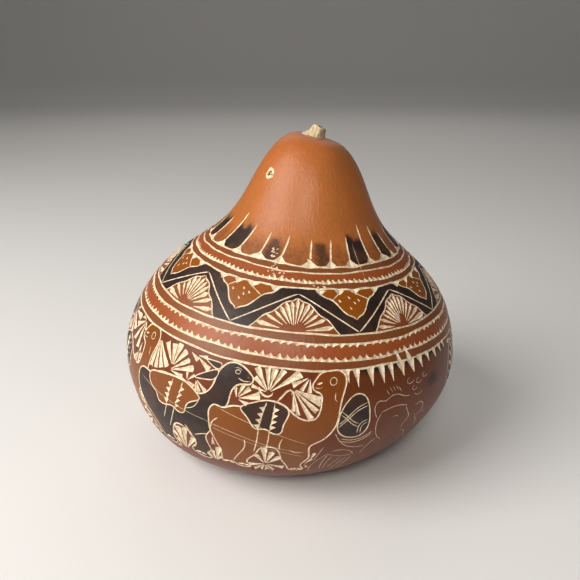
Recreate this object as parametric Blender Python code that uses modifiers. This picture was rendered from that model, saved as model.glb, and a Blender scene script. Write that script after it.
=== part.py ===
"""A dried bottle gourd that stands on its flattened underside, with the stub of its stem.

The gourd is a turned outline whose axis leans towards +X and bows slightly, as a gourd
grows when it lies on one side. Units are metres, +Z is up, and the origin is the middle
of the flat patch that the gourd stands on.
"""
import math

import bmesh
import bpy
import numpy as np
from mathutils import Matrix, Vector

MM = 0.001

# The outline, from the crown down the outer side: radius and height in millimetres.
CROWN_RADIUS = 4.6
OUTLINE = (
    (CROWN_RADIUS, 122.7),
    (9.2, 122.2),
    (17.5, 115.4),
    (24.6, 102.0),
    (31.5, 90.0),
    (45.9, 76.8),
    (60.3, 62.8),
    (67.5, 48.8),
    (70.0, 35.5),
    (67.6, 23.6),
    (63.1, 13.7),
    (56.5, 4.8),
    (44.5, -2.0),
    (25.0, -6.4),
    (0.0, -7.8),
)
OUTLINE_STEPS = 42
ROUND_STEPS = 64

# The lean: the axis moves towards +X as it rises, with a small bow, and each level ring
# tips by the ring tilt. The underside tips less, so that the gourd stands squarely, and
# the crown tips more and stands a little further over.
LEAN_PER_HEIGHT = 0.136
BOW = 2.4
BOW_LENGTH = 115.0
RING_TILT = math.radians(4.5)
UNDERSIDE_TILT = math.radians(1.5)
TILT_FULL_HEIGHT = 22.0
TILT_START_HEIGHT = -8.0
CROWN_TILT = math.radians(14.5)
CROWN_SHIFT = 1.7
CROWN_TILT_START = 95.0
CROWN_TILT_FULL = 124.0

# The flat patch is cut this far above the lowest point of the underside.
REST_CUT = 1.1

# The stem stub: a ribbed, tapered stalk, broken off at a slant.
STEM_GAP = 0.3
STEM_ASIDE = -1.1
STEM_BACK = 1.2
STEM_BASE_RADIUS = 4.3
STEM_TOP_RADIUS = 3.0
STEM_HEIGHT = 5.0
STEM_RIBS = 8
STEM_RIB_DEPTH = 0.09
STEM_RINGS = 4
STEM_FLARE = 0.16
STEM_LEAN_PER_HEIGHT = 0.30
STEM_CUT_SLOPE = math.radians(12.0)
STEM_CUT_SHARE = 0.80

MERGE_DISTANCE = 0.00001
SMOOTH_ANGLE = math.radians(40.0)

# Material colours (linear RGB), roughness.
SKIN_COLOUR = (0.42, 0.14, 0.032)
SKIN_ROUGHNESS = 0.35
STEM_COLOUR = (0.52, 0.36, 0.19)
STEM_ROUGHNESS = 0.8


def clear_scene():
    """Remove whatever the new file started with."""
    for thing in list(bpy.data.objects):
        bpy.data.objects.remove(thing, do_unlink=True)


def make_collection(name):
    """Add a collection to the scene."""
    collection = bpy.data.collections.new(name)
    bpy.context.scene.collection.children.link(collection)
    return collection


def make_material(name, colour, roughness):
    """A plain Principled material."""
    material = bpy.data.materials.new(name)
    material.use_nodes = True
    shader = material.node_tree.nodes["Principled BSDF"]
    shader.inputs["Base Color"].default_value = (*colour, 1.0)
    shader.inputs["Roughness"].default_value = roughness
    shader.inputs["Metallic"].default_value = 0.0
    return material


def smooth_line(points, steps):
    """Read evenly spaced points from the natural cubic spline through a line's points."""
    points = np.array(points, dtype=float)
    chords = np.hypot(*np.diff(points, axis=0).T)
    along = np.concatenate(([0.0], np.cumsum(chords)))
    count = len(points)
    system = np.eye(count)
    sides = np.zeros_like(points)
    for i in range(1, count - 1):
        before, after = chords[i - 1], chords[i]
        system[i, i - 1:i + 2] = before, 2.0 * (before + after), after
        rise = (points[i + 1] - points[i]) / after - (points[i] - points[i - 1]) / before
        sides[i] = 6.0 * rise
    bend = np.linalg.solve(system, sides)
    places = np.linspace(0.0, along[-1], steps + 1)
    piece = np.clip(np.searchsorted(along, places, side="right") - 1, 0, count - 2)
    length = chords[piece][:, None]
    after = (places - along[piece])[:, None]
    before = length - after
    cubic = (bend[piece] * before ** 3 + bend[piece + 1] * after ** 3) / (6.0 * length)
    start = (points[piece] / length - bend[piece] * length / 6.0) * before
    end = (points[piece + 1] / length - bend[piece + 1] * length / 6.0) * after
    return cubic + start + end


def ease(value):
    """Smooth step from 0 to 1."""
    value = min(max(value, 0.0), 1.0)
    return value * value * (3.0 - 2.0 * value)


def ring_frame(height):
    """Where the leaning axis is at a height, and how far the level ring there tips."""
    crown = ease((height - CROWN_TILT_START) / (CROWN_TILT_FULL - CROWN_TILT_START))
    sideways = LEAN_PER_HEIGHT * height + BOW * math.sin(math.pi * height / BOW_LENGTH)
    share = ease((height - TILT_START_HEIGHT) / (TILT_FULL_HEIGHT - TILT_START_HEIGHT))
    tilt = UNDERSIDE_TILT + (RING_TILT - UNDERSIDE_TILT) * share
    return sideways + CROWN_SHIFT * crown, tilt + (CROWN_TILT - RING_TILT) * crown


def lean(point):
    """Carry a point of the upright gourd, in millimetres, to its leaning place."""
    sideways, tilt = ring_frame(point.z)
    x = sideways + point.x * math.cos(tilt)
    z = point.z - point.x * math.sin(tilt)
    return Vector((x, point.y, z))


def turned_mesh(name, profile, collection):
    """Turn a profile, listed down its outer side from the axis to the axis, about Z."""
    mesh = bpy.data.meshes.new(name + "_profile")
    edges = [(i, i + 1) for i in range(len(profile) - 1)]
    mesh.from_pydata([(x, 0.0, z) for x, z in profile], edges, [])
    turned = bpy.data.objects.new(name + "_profile", mesh)
    collection.objects.link(turned)
    screw = turned.modifiers.new("Turn", "SCREW")
    screw.steps = ROUND_STEPS
    screw.render_steps = ROUND_STEPS
    screw.use_merge_vertices = True
    screw.merge_threshold = MERGE_DISTANCE
    graph = bpy.context.evaluated_depsgraph_get()
    result = bpy.data.meshes.new_from_object(turned.evaluated_get(graph))
    bpy.data.objects.remove(turned, do_unlink=True)
    bpy.data.meshes.remove(mesh)
    return result


def shade_round(mesh):
    """Smooth shading, with the sharp rims kept."""
    mesh.shade_smooth()
    mesh.set_sharp_from_angle(angle=SMOOTH_ANGLE)


def add_part(name, bm, material, collection):
    """Make a closed bmesh a named part with its material."""
    bmesh.ops.remove_doubles(bm, verts=bm.verts, dist=MERGE_DISTANCE)
    bmesh.ops.recalc_face_normals(bm, faces=bm.faces)
    mesh = bpy.data.meshes.new(name)
    bm.to_mesh(mesh)
    bm.free()
    mesh.materials.append(material)
    shade_round(mesh)
    part = bpy.data.objects.new(name, mesh)
    collection.objects.link(part)
    return part


def cap(bm, loop):
    """Close the open rim left by a cut with one flat face."""
    rim = [edge for edge in loop["geom_cut"] if isinstance(edge, bmesh.types.BMEdge)]
    return bmesh.ops.contextual_create(bm, geom=rim)["faces"]


def gourd_body(collection, scratch):
    """The gourd itself, moved so that its flat patch is centred on the origin.

    Returns the part and that move, which the stem repeats.
    """
    outline = smooth_line(OUTLINE, OUTLINE_STEPS)
    crown = (0.0, OUTLINE[0][1])
    profile = [crown] + [tuple(place) for place in outline]
    mesh = turned_mesh("gourd_body", profile, scratch)
    bm = bmesh.new()
    bm.from_mesh(mesh)
    bpy.data.meshes.remove(mesh)
    for vert in bm.verts:
        vert.co = lean(vert.co)
    floor = min(vert.co.z for vert in bm.verts) + REST_CUT
    geometry = bm.verts[:] + bm.edges[:] + bm.faces[:]
    cut = bmesh.ops.bisect_plane(bm, geom=geometry, plane_co=(0.0, 0.0, floor),
                                 plane_no=(0.0, 0.0, -1.0), clear_outer=True)
    patch = cap(bm, cut)[0]
    middle = patch.calc_center_bounds()
    bmesh.ops.translate(bm, verts=bm.verts, vec=-middle)
    bmesh.ops.scale(bm, verts=bm.verts, vec=(MM, MM, MM))
    skin = make_material("gourd_skin", SKIN_COLOUR, SKIN_ROUGHNESS)
    return add_part("gourd_body", bm, skin, collection), -middle


def stem(collection, move):
    """The stub of the stem, a hair above the crown and tipped with it."""
    bm = bmesh.new()
    bmesh.ops.create_cone(bm, cap_ends=True, segments=2 * STEM_RIBS, radius1=STEM_BASE_RADIUS,
                          radius2=STEM_TOP_RADIUS, depth=STEM_HEIGHT)
    bmesh.ops.translate(bm, verts=bm.verts, vec=(0.0, 0.0, STEM_HEIGHT / 2.0))
    upright = [edge for edge in bm.edges if abs(edge.verts[0].co.z - edge.verts[1].co.z) > STEM_HEIGHT / 2.0]
    bmesh.ops.subdivide_edges(bm, edges=upright, cuts=STEM_RINGS, use_grid_fill=True)
    for vert in bm.verts:
        share = vert.co.z / STEM_HEIGHT
        angle = math.atan2(vert.co.y, vert.co.x)
        rib = 1.0 - STEM_RIB_DEPTH * (0.5 - 0.5 * math.cos(STEM_RIBS * angle))
        flare = 1.0 + STEM_FLARE * (1.0 - share) ** 3 * max(0.0, -math.cos(angle))
        vert.co.x *= rib * flare
        vert.co.y *= rib
    top = Vector((0.0, 0.0, STEM_HEIGHT * STEM_CUT_SHARE))
    slope = Vector((math.sin(STEM_CUT_SLOPE), 0.0, math.cos(STEM_CUT_SLOPE)))
    geometry = bm.verts[:] + bm.edges[:] + bm.faces[:]
    cut = bmesh.ops.bisect_plane(bm, geom=geometry, plane_co=top, plane_no=slope, clear_outer=True)
    cap(bm, cut)
    for vert in bm.verts:
        vert.co.x += STEM_LEAN_PER_HEIGHT * vert.co.z
    sideways, tilt = ring_frame(OUTLINE[0][1])
    base = Vector((sideways, 0.0, OUTLINE[0][1])) + move
    place = Matrix.Translation(base) @ Matrix.Rotation(tilt, 4, "Y")
    bmesh.ops.translate(bm, verts=bm.verts, vec=(STEM_ASIDE, STEM_BACK, STEM_GAP))
    bmesh.ops.transform(bm, matrix=place, verts=bm.verts)
    bmesh.ops.scale(bm, verts=bm.verts, vec=(MM, MM, MM))
    stalk = make_material("stem", STEM_COLOUR, STEM_ROUGHNESS)
    return add_part("stem", bm, stalk, collection)


def main():
    """Build the gourd."""
    clear_scene()
    parts = make_collection("dried_bottle_gourd")
    scratch = make_collection("profiles")
    body, move = gourd_body(parts, scratch)
    stub = stem(parts, move)
    stub.parent = body


if __name__ == "__main__":
    main()
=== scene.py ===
from math import atan2, cos, hypot, pi, radians, sin, tan, tau

import bmesh
import bpy
import numpy as np
from mathutils import Matrix, Vector, kdtree
from mathutils.geometry import delaunay_2d_cdt


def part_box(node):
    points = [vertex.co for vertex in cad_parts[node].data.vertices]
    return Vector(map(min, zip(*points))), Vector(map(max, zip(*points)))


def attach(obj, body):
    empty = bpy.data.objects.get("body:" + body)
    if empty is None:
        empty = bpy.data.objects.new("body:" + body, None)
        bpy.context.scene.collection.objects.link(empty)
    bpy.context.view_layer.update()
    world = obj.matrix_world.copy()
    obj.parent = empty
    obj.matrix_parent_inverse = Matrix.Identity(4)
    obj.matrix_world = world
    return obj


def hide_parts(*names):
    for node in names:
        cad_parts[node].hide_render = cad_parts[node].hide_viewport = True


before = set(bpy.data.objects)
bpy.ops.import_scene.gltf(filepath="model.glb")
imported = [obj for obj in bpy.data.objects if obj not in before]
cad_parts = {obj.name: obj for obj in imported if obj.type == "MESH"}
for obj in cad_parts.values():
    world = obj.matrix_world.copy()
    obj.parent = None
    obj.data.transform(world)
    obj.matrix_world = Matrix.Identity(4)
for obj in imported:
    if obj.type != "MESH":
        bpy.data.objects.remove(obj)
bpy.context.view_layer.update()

bl_info = {
    "name": "Carved Bottle Gourd",
    "version": (1, 0, 0),
    "blender": (4, 5, 0),
    "location": "3D View > Sidebar > Gourd",
    "description": "Carves and burns a folk pattern into a dried bottle gourd",
    "category": "Add Mesh",
}

BODY_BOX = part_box("gourd_body")
MM = 0.001

# The turned outline, as the frame's body has it: radius and height in millimetres.
CROWN_RADIUS = 4.6
CROWN_HEIGHT = 122.7
OUTLINE = (
    (CROWN_RADIUS, CROWN_HEIGHT), (9.2, 122.2), (17.5, 115.4), (24.6, 102.0), (31.5, 90.0),
    (45.9, 76.8), (60.3, 62.8), (67.5, 48.8), (70.0, 35.5), (67.6, 23.6), (63.1, 13.7),
    (56.5, 4.8), (44.5, -2.0), (25.0, -6.4), (0.0, -7.8),
)
WIDEST = 70.0
GIRTH = tau * WIDEST
LEAN_PER_HEIGHT = 0.136
BOW = 2.4
BOW_LENGTH = 115.0
RING_TILT = radians(4.5)
UNDERSIDE_TILT = radians(1.5)
TILT_START_HEIGHT = -8.0
TILT_FULL_HEIGHT = 22.0
CROWN_TILT = radians(14.5)
CROWN_SHIFT = 1.7
CROWN_TILT_START = 95.0
CROWN_TILT_FULL = 124.0

# The stem stub, in its own upright frame: millimetres from the middle of the crown.
STEM_ASIDE = -1.1
STEM_BACK = 1.2
STEM_SUNK = 0.3
STEM_HEIGHT = 4.3
STEM_FOOT_RADIUS = 4.3
STEM_NECK_RADIUS = 2.9
STEM_LEAN_PER_HEIGHT = 0.30
STEM_CUT_SLOPE = tan(radians(12.0))
STEM_RIB_DEPTH = 0.09
STEM_FLARE = 0.30
STEM_SHOULDER = 0.78
STEM_ROUNDING = 0.16
STEM_HOLLOW = 0.5
POINTS_PER_RIB = 10
STEM_RINGS = 20
END_INSETS = (0.06, 0.12, 0.2, 0.25)

# The drawing's places are millimetres round the widest girth, from the front towards +X,
# and millimetres down the skin from the middle of the crown.
SEAM = 178.0
START = SEAM - GIRTH
DRAWING_TOP = 1.5
POLE_GAP = 2.5

# How far apart the points of each kind of cut lie.
LINE_STEP = 1.15
RING_STEP = 1.3
CHIP_STEP = 1.6
DROP_STEP = 0.5


# ---------------------------------------------------------------- smooth lines


def side_lengths(points):
    """How long each side of a line is."""
    return np.hypot(*np.diff(np.array(points, dtype=float), axis=0).T)


def running_sum(lengths):
    """The distance covered at each point of a line, from 0."""
    return np.concatenate(([0.0], np.cumsum(lengths)))


def smooth_line(points, steps):
    """Evenly spaced points on the natural cubic spline through a line's points."""
    points = np.array(points, dtype=float)
    chords = np.maximum(side_lengths(points), 1e-9)
    along = running_sum(chords)
    count = len(points)
    system = np.eye(count)
    sides = np.zeros_like(points)
    for i in range(1, count - 1):
        before, after = chords[i - 1], chords[i]
        system[i, i - 1:i + 2] = before, 2.0 * (before + after), after
        rise = (points[i + 1] - points[i]) / after - (points[i] - points[i - 1]) / before
        sides[i] = 6.0 * rise
    bend = np.linalg.solve(system, sides)
    places = np.linspace(0.0, along[-1], steps + 1)
    piece = np.clip(np.searchsorted(along, places, side="right") - 1, 0, count - 2)
    length = chords[piece][:, None]
    after = (places - along[piece])[:, None]
    before = length - after
    cubic = (bend[piece] * before ** 3 + bend[piece + 1] * after ** 3) / (6.0 * length)
    start = (points[piece] / length - bend[piece] * length / 6.0) * before
    end = (points[piece + 1] / length - bend[piece + 1] * length / 6.0) * after
    return cubic + start + end


def closed_line(points, steps):
    """The same for a closed outline: the line laps itself, and the laps are cut off."""
    lap = 3
    around = list(points[-lap:]) + list(points) + list(points[:lap + 1])
    dense = smooth_line(around, steps * 2)
    lengths = side_lengths(around)
    along = running_sum(lengths) / lengths.sum()
    first, last = along[lap], along[lap + len(points)]
    places = np.linspace(0.0, 1.0, len(dense))
    wanted = np.linspace(first, last, steps, endpoint=False)
    return np.stack([np.interp(wanted, places, dense[:, i]) for i in range(2)], 1)


def ease(value):
    """Smooth step from 0 to 1."""
    value = np.clip(value, 0.0, 1.0)
    return value * value * (3.0 - 2.0 * value)


# ---------------------------------------------------------------- the plain skin


class Skin:
    """Where a place of the drawing lies on the gourd."""

    def __init__(self, lump_size):
        flat_steps = 60
        crown = np.stack([np.linspace(0.0, CROWN_RADIUS, flat_steps, endpoint=False),
                          np.full(flat_steps, CROWN_HEIGHT)], 1)
        line = np.concatenate([crown, smooth_line(OUTLINE, 4000)])
        self.down = running_sum(side_lengths(line))
        self.radius, self.height = line.T
        self.bottom = self.down[-1] - POLE_GAP
        reach = self.down[(self.down >= DRAWING_TOP) & (self.down <= self.bottom)]
        radius = np.interp(reach, self.down, self.radius)
        mean = 0.5 * (WIDEST / radius[1:] + WIDEST / radius[:-1])
        self.even_down = reach
        self.even = running_sum(mean * np.diff(reach))
        self.lump_size = lump_size
        self.move = np.zeros(3)
        self.move = self.frame_move()

    def frame_move(self):
        """What carries the outline's own origin to the frame's: the boxes are matched."""
        around = np.linspace(-0.5, 0.5, 721) * GIRTH
        level = np.linspace(0.0, self.down[-1], 600)
        x, s = [grid.ravel() for grid in np.meshgrid(around, level)]
        plain = self.solid_place(x, s, 0.0) / MM
        low, high = [np.array(corner) / MM for corner in BODY_BOX]
        middle = 0.5 * (low[0] + high[0]) - 0.5 * (plain[:, 0].min() + plain[:, 0].max())
        return np.array([middle, 0.0, high[2] - plain[:, 2].max()])

    def radius_at(self, s):
        return np.interp(s, self.down, self.radius)

    def evened(self, s):
        """Distance down the skin, stretched so that the drawing keeps its angles."""
        return np.interp(s, self.even_down, self.even)

    def unevened(self, t):
        return np.interp(t, self.even, self.even_down)

    def lumps(self, turn, s):
        """Low, wide bumps and dips of a grown skin."""
        wave = np.sin(2 * turn + 0.045 * s + 0.7) + 0.8 * np.sin(3 * turn - 0.071 * s + 2.1)
        wave = wave + 0.6 * np.sin(5 * turn + 0.11 * s + 4.0)
        wave = wave + 0.5 * np.sin(0.16 * s + 1.3 * np.sin(2 * turn))
        return self.lump_size * wave * 0.35 * ease(s / 12.0)

    def solid_place(self, x, s, outward):
        """Points in metres, so far outward from the plain skin in millimetres."""
        step = 0.4

        def change(values):
            return np.interp(s + step, self.down, values) - np.interp(s - step, self.down, values)

        turn = x / WIDEST
        radius = np.interp(s, self.down, self.radius)
        height = np.interp(s, self.down, self.height)
        rise, run = change(self.height), change(self.radius)
        length = np.hypot(rise, run)
        radius = radius - rise / length * outward
        height = height + run / length * outward
        share = ease((height - TILT_START_HEIGHT) / (TILT_FULL_HEIGHT - TILT_START_HEIGHT))
        crown = ease((height - CROWN_TILT_START) / (CROWN_TILT_FULL - CROWN_TILT_START))
        tilt = UNDERSIDE_TILT + (RING_TILT - UNDERSIDE_TILT) * share
        tilt = tilt + (CROWN_TILT - RING_TILT) * crown
        sideways = LEAN_PER_HEIGHT * height + BOW * np.sin(pi * height / BOW_LENGTH)
        sideways = sideways + CROWN_SHIFT * crown
        px = radius * np.sin(turn)
        points = np.stack([sideways + px * np.cos(tilt), -radius * np.cos(turn),
                           height - px * np.sin(tilt)], -1)
        return (points + self.move) * MM

    def place(self, x, s, depth):
        """Points of the lumpy skin, cut in by a depth, and level where the gourd stands."""
        points = self.solid_place(x, s, self.lumps(x / WIDEST, s) - depth)
        points[:, 2] = np.maximum(points[:, 2], 0.0)
        return points

    def normals(self, x, s):
        """Outward normals of the lumpy skin."""
        step = 0.3
        across = self.place(x + step, s, 0.0) - self.place(x - step, s, 0.0)
        down = self.place(x, s + step, 0.0) - self.place(x, s - step, 0.0)
        normal = np.cross(down, across)
        return normal / np.maximum(np.linalg.norm(normal, axis=1, keepdims=True), 1e-12)


# ---------------------------------------------------------------- the drawing


class Drawing:
    """Cuts and dyed areas, in the drawing's places, with widths in millimetres."""

    def __init__(self, skin, line_share, seed):
        self.skin = skin
        self.line_share = line_share
        self.cuts = []
        self.areas = []
        self.random = np.random.default_rng(seed)

    def flat(self, points):
        """The drawing's places with the distance down evened."""
        points = np.array(points, dtype=float)
        return np.stack([points[:, 0], self.skin.evened(points[:, 1])], 1)

    def real_scale(self, flat):
        """Millimetres on the skin for one unit of the flat drawing."""
        return self.skin.radius_at(self.skin.unevened(flat[:, 1])) / WIDEST

    def resampled(self, flat, step, least=1):
        """The flat line with a point about every step of real length."""
        middle = 0.5 * (flat[1:] + flat[:-1])
        along = running_sum(side_lengths(flat) * self.real_scale(middle))
        count = max(int(round(along[-1] / step)), least)
        wanted = np.linspace(0.0, along[-1], count + 1)
        line = np.stack([np.interp(wanted, along, flat[:, i]) for i in range(2)], 1)
        return line, wanted

    def store(self, line, widths):
        """Keep a cut: its middle line and its full width at each point."""
        jitter = 1.0 + 0.16 * self.random.uniform(-1.0, 1.0, len(widths))
        self.cuts.append((line, np.array(widths) * jitter))

    def clear(self, outline):
        """Take away the parts of earlier cuts that a figure in front of them hides."""
        kept = []
        for line, widths in self.cuts:
            apart = (line.max(0) < outline.min(0)).any() or (line.min(0) > outline.max(0)).any()
            hidden = np.zeros(len(line), dtype=bool) if apart else inside(line, outline)
            if not hidden.any():
                kept.append((line, widths))
                continue
            runs = np.flatnonzero(np.diff(np.concatenate(([True], hidden, [True])).astype(int)))
            for first, last in zip(runs[::2], runs[1::2]):
                run, run_widths = list(line[first:last]), list(widths[first:last])
                if first > 0:
                    run.insert(0, last_free(line[first], line[first - 1], outline))
                    run_widths.insert(0, widths[first])
                if last < len(line):
                    run.append(last_free(line[last - 1], line[last], outline))
                    run_widths.append(widths[last - 1])
                if len(run) > 1:
                    kept.append((np.array(run), np.array(run_widths)))
        self.cuts = kept

    def line(self, points, width, smooth=True, taper=0.9, step=LINE_STEP):
        """A cut of even width whose ends run out to nothing."""
        flat = self.flat(points)
        if smooth and len(flat) > 2:
            flat = smooth_line(flat, 12 * len(flat))
        line, along = self.resampled(flat, step, 2)
        ends = np.minimum(along, along[-1] - along)
        widths = width * np.clip(0.12 + ends / taper, 0.12, 1.0)
        self.store(line, widths * self.line_share)

    def ring(self, level, width):
        """A cut all the way round, whose level is a function of the place round."""
        count = int(GIRTH / RING_STEP)
        x = START + GIRTH * np.arange(-3, count + 4) / count
        line = self.flat(np.stack([x, level(x)], 1))
        widths = np.full(len(x), width * self.line_share)
        around = tau * x / GIRTH
        widths = widths * (1.0 + 0.12 * np.sin(17 * around) + 0.10 * np.sin(41 * around + 1.0))
        self.cuts.append((line, widths))

    def wedge(self, start, end, narrow, wide, blunt=0.0):
        """A chip cut that widens from its start to its end."""
        line, along = self.resampled(self.flat([start, end]), CHIP_STEP, 3)
        share = along / along[-1]
        widths = narrow + (wide - narrow) * share ** 1.15
        if blunt:
            widths = widths * np.clip((along[-1] - along) / blunt, 0.25, 1.0)
        self.store(line, widths)

    def drop(self, start, end, width):
        """A small teardrop cut."""
        line, along = self.resampled(self.flat([start, end]), DROP_STEP)
        share = along / along[-1]
        self.store(line, width * np.sin(pi * np.clip(share, 0.04, 0.97) ** 1.4))

    def area(self, points, dye, smooth=True, fade=None):
        """A dyed area with a closed outline. Later areas cover earlier ones."""
        flat = self.flat(points)
        ring = np.concatenate([flat, flat[:1]])
        if smooth:
            flat = closed_line(flat, max(int(side_lengths(ring).sum() / LINE_STEP), 12))
        else:
            sides = [self.resampled(ring[i:i + 2], LINE_STEP)[0][:-1] for i in range(len(flat))]
            flat = np.concatenate(sides)
        self.areas.append((flat, dye, fade))
        return flat

    def outlined(self, points, dye, width):
        """A dyed area with a cut all round its edge."""
        flat = self.area(points, dye)
        self.clear(flat)
        closed = np.concatenate([flat, flat[:2]])
        self.store(closed, np.full(len(closed), width * self.line_share))
        return flat


def last_free(free, hidden, outline):
    """The last point outside an outline on the way from a free point to a hidden one."""
    way = free + (hidden - free) * np.linspace(0.0, 1.0, 9)[:, None]
    return way[~inside(way, outline)][-1]


def inside(points, outline):
    """Which points lie inside a closed outline."""
    x, y = points[:, 0], points[:, 1]
    found = np.zeros(len(points), dtype=bool)
    for (ax, ay), (bx, by) in zip(outline, np.roll(outline, -1, axis=0)):
        if ay == by:
            continue
        crosses = (ay > y) != (by > y)
        found ^= crosses & (x < (bx - ax) * (y - ay) / (by - ay) + ax)
    return found


def shifted(points, by, down=0.0):
    """The same points further round the gourd, and further down."""
    return [(x + by, s + down) for x, s in points]


def patch(left, right, top, foot):
    """The corners of a plain patch of the drawing."""
    return [(left, top), (right, top), (right, foot), (left, foot)]


def oval(x, s, across, down, angles):
    """Points at some angles of an oval round a place."""
    return [(x + across * cos(a), s + down * sin(a)) for a in angles]


# ---------------------------------------------------------------- bands of the pattern


def wobble(size, seed):
    """A small wander that closes round the gourd."""
    def wander(x):
        around = tau * np.asarray(x) / GIRTH
        return size * (np.sin(5 * around + seed) + 0.6 * np.sin(11 * around + 2.3 * seed)
                       + 0.4 * np.sin(23 * around + 3.1 * seed))
    return wander


def ring_level(level, seed):
    """A ring line's level, with its wander, as a function of the place round."""
    wander = wobble(0.22, seed)
    return lambda x: level + wander(x)


PETAL_TOP = 47.8
PETAL_FOOT = 59.0
PETAL_HAZE = 0.42
RING_LEVELS = (60.2, 62.9, 66.9, 69.6, 86.9, 90.1, 95.6, 98.9)
RING_WIDTHS = (0.95, 0.85, 1.0, 0.95, 0.9, 1.0, 1.0, 0.95)
# The lines between petals at the front: where each stands, how far it leans at its top, how
# high that is, and how strongly the petal after it is burnt.
FRONT_PETALS = (
    (-88.0, 3.0, 48.0, 0.0), (-69.5, 4.5, 43.6, 1.0), (-51.0, 3.0, 47.0, 0.0), (-33.5, 1.8, 48.6, 0.68),
    (-18.0, 2.6, 48.8, 0.0), (2.0, 0.8, 49.4, 0.66), (16.5, 2.4, 49.0, 0.0), (31.0, 1.8, 48.2, 1.0),
    (48.0, -0.6, 43.8, 0.0), (63.0, -1.6, 45.0, 0.95), (76.5, -2.4, 48.8, 0.0),
)
BACK_PETALS = 17
# Valleys of the zigzag at the front.
FRONT_VALLEYS = (-84.0, -31.0, 24.5, 74.0)
BACK_VALLEYS = 4
ZIGZAG_PEAK = 72.0
ZIGZAG_VALLEY = 86.3
# The ribbon's edges: where each starts under a peak, and how far it drops to a valley.
ZIGZAG_UPPER_DROP = 12.2
ZIGZAG_LOWER_TOP = 73.6
ZIGZAG_LOWER_DROP = 13.6


def spread_round(front, back_count):
    """The front's given places, and evenly spaced ones round the back."""
    gap = (front[0] + GIRTH - front[-1]) / (back_count + 1)
    return list(front) + [front[-1] + gap * (i + 1) for i in range(back_count)]


def ring_bands(drawing):
    """The lines of the two ring bands, with their rows of teeth, and the darker strips."""
    levels = [ring_level(level, i + 1.0) for i, level in enumerate(RING_LEVELS)]
    for level, width in zip(levels, RING_WIDTHS):
        drawing.ring(level, width)
    for top, dye in ((0, "strip"), (1, "band"), (2, "strip"), (4, "strip"), (5, "band"), (6, "strip")):
        band_area(drawing, levels[top], levels[top + 1], dye)
    teeth(drawing, levels[2], -1.35, 3.4, 2.3)
    teeth(drawing, levels[5], 1.25, 3.4, 2.7)
    teeth(drawing, levels[6], -1.6, 3.1, 2.5)


def band_area(drawing, top, low, dye):
    """A strip all the way round, kept as the levels of its two edges."""
    drawing.areas.append(((top, low), dye, None))


def teeth(drawing, level, reach, pitch, wide):
    """A row of small chips that stand on a ring line or hang from it."""
    count = int(GIRTH / pitch)
    for i in range(count):
        x = START + GIRTH * (i + 0.5) / count + drawing.random.uniform(-0.4, 0.4)
        size = reach * drawing.random.uniform(0.7, 1.15)
        foot = float(level(x))
        slant = drawing.random.uniform(-0.3, 0.3)
        drawing.wedge((x + slant, foot + size), (x, foot), 0.15, wide)


def petal_panels(drawing):
    """Panels with burnt and plain petals between fine upright cuts."""
    petal_haze(drawing)
    places = spread_round([petal[0] for petal in FRONT_PETALS], BACK_PETALS)
    looks = [petal[1:] for petal in FRONT_PETALS]
    looks += [(0.0, 47.5 + 1.4 * sin(2.4 * i), 0.95 * (1 - i % 2)) for i in range(BACK_PETALS)]
    for i, (x, (lean, top, _)) in enumerate(zip(places, looks)):
        foot = ring_level(RING_LEVELS[0], 1.0)(x)
        middle = (x + 0.45 * lean + 0.2 * sin(5.0 * i), 0.5 * (top + PETAL_FOOT))
        drawing.line([(x, PETAL_FOOT - 0.6), middle, (x + lean, top)], 0.95, taper=2.6)
        half = 3.6 + 0.9 * sin(3.0 * i)
        drawing.wedge((x, foot - 3.0), (x, foot - 0.1), 0.3, 1.5 * half)
        for side in (-1.0, 1.0):
            outer, inner = x + side * half + side * 1.6, x + side * 0.4
            drawing.wedge((outer, foot - 0.2), (inner, foot - 0.75), 0.2, 1.5)
    ends = places[1:] + [places[0] + GIRTH]
    end_looks = looks[1:] + looks[:1]
    for left, right, (lean, _, strength), (end_lean, _, _) in zip(places, ends, looks, end_looks):
        if strength:
            petal(drawing, left, right, lean, end_lean, strength)


def petal(drawing, left, right, lean_left, lean_right, strength):
    """One burnt petal: rounded at its foot, and burnt out softly towards its top."""
    middle = 0.5 * (left + right)
    outline = [(left + 0.4 + lean_left, PETAL_TOP - 2.6), (left + 0.4, PETAL_FOOT - 2.6),
               (left + 2.4, PETAL_FOOT + 0.3), (middle, PETAL_FOOT + 0.9),
               (right - 2.4, PETAL_FOOT + 0.3), (right - 0.4, PETAL_FOOT - 2.6),
               (right - 0.4 + lean_right, PETAL_TOP - 2.6)]
    half = 0.5 * (right - left)

    def fade(x, s):
        top = ease((s - PETAL_TOP + 1.6 - 1.2 * np.sin(0.7 * x + left)) / 5.0)
        if strength > 0.8:
            return strength * top
        spot = 1.15 - ((x - middle - 0.8) / half) ** 2 - ((s - 55.4) / 6.4) ** 2
        return strength * ease(1.6 * spot)

    drawing.area(outline, "burnt", smooth=False, fade=fade)


def petal_haze(drawing):
    """A faint scorch all round behind the petals, which fades out upwards."""
    def fade(x, s):
        return PETAL_HAZE * ease((s - 46.5 - np.sin(0.5 * x)) / 9.0)

    middle = SEAM - 0.5 * GIRTH
    for left, right in ((middle - 0.5 * GIRTH, middle), (middle, middle + 0.5 * GIRTH)):
        drawing.area(patch(left, right, 46.0, PETAL_FOOT + 1.6), "burnt", smooth=False, fade=fade)


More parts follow.
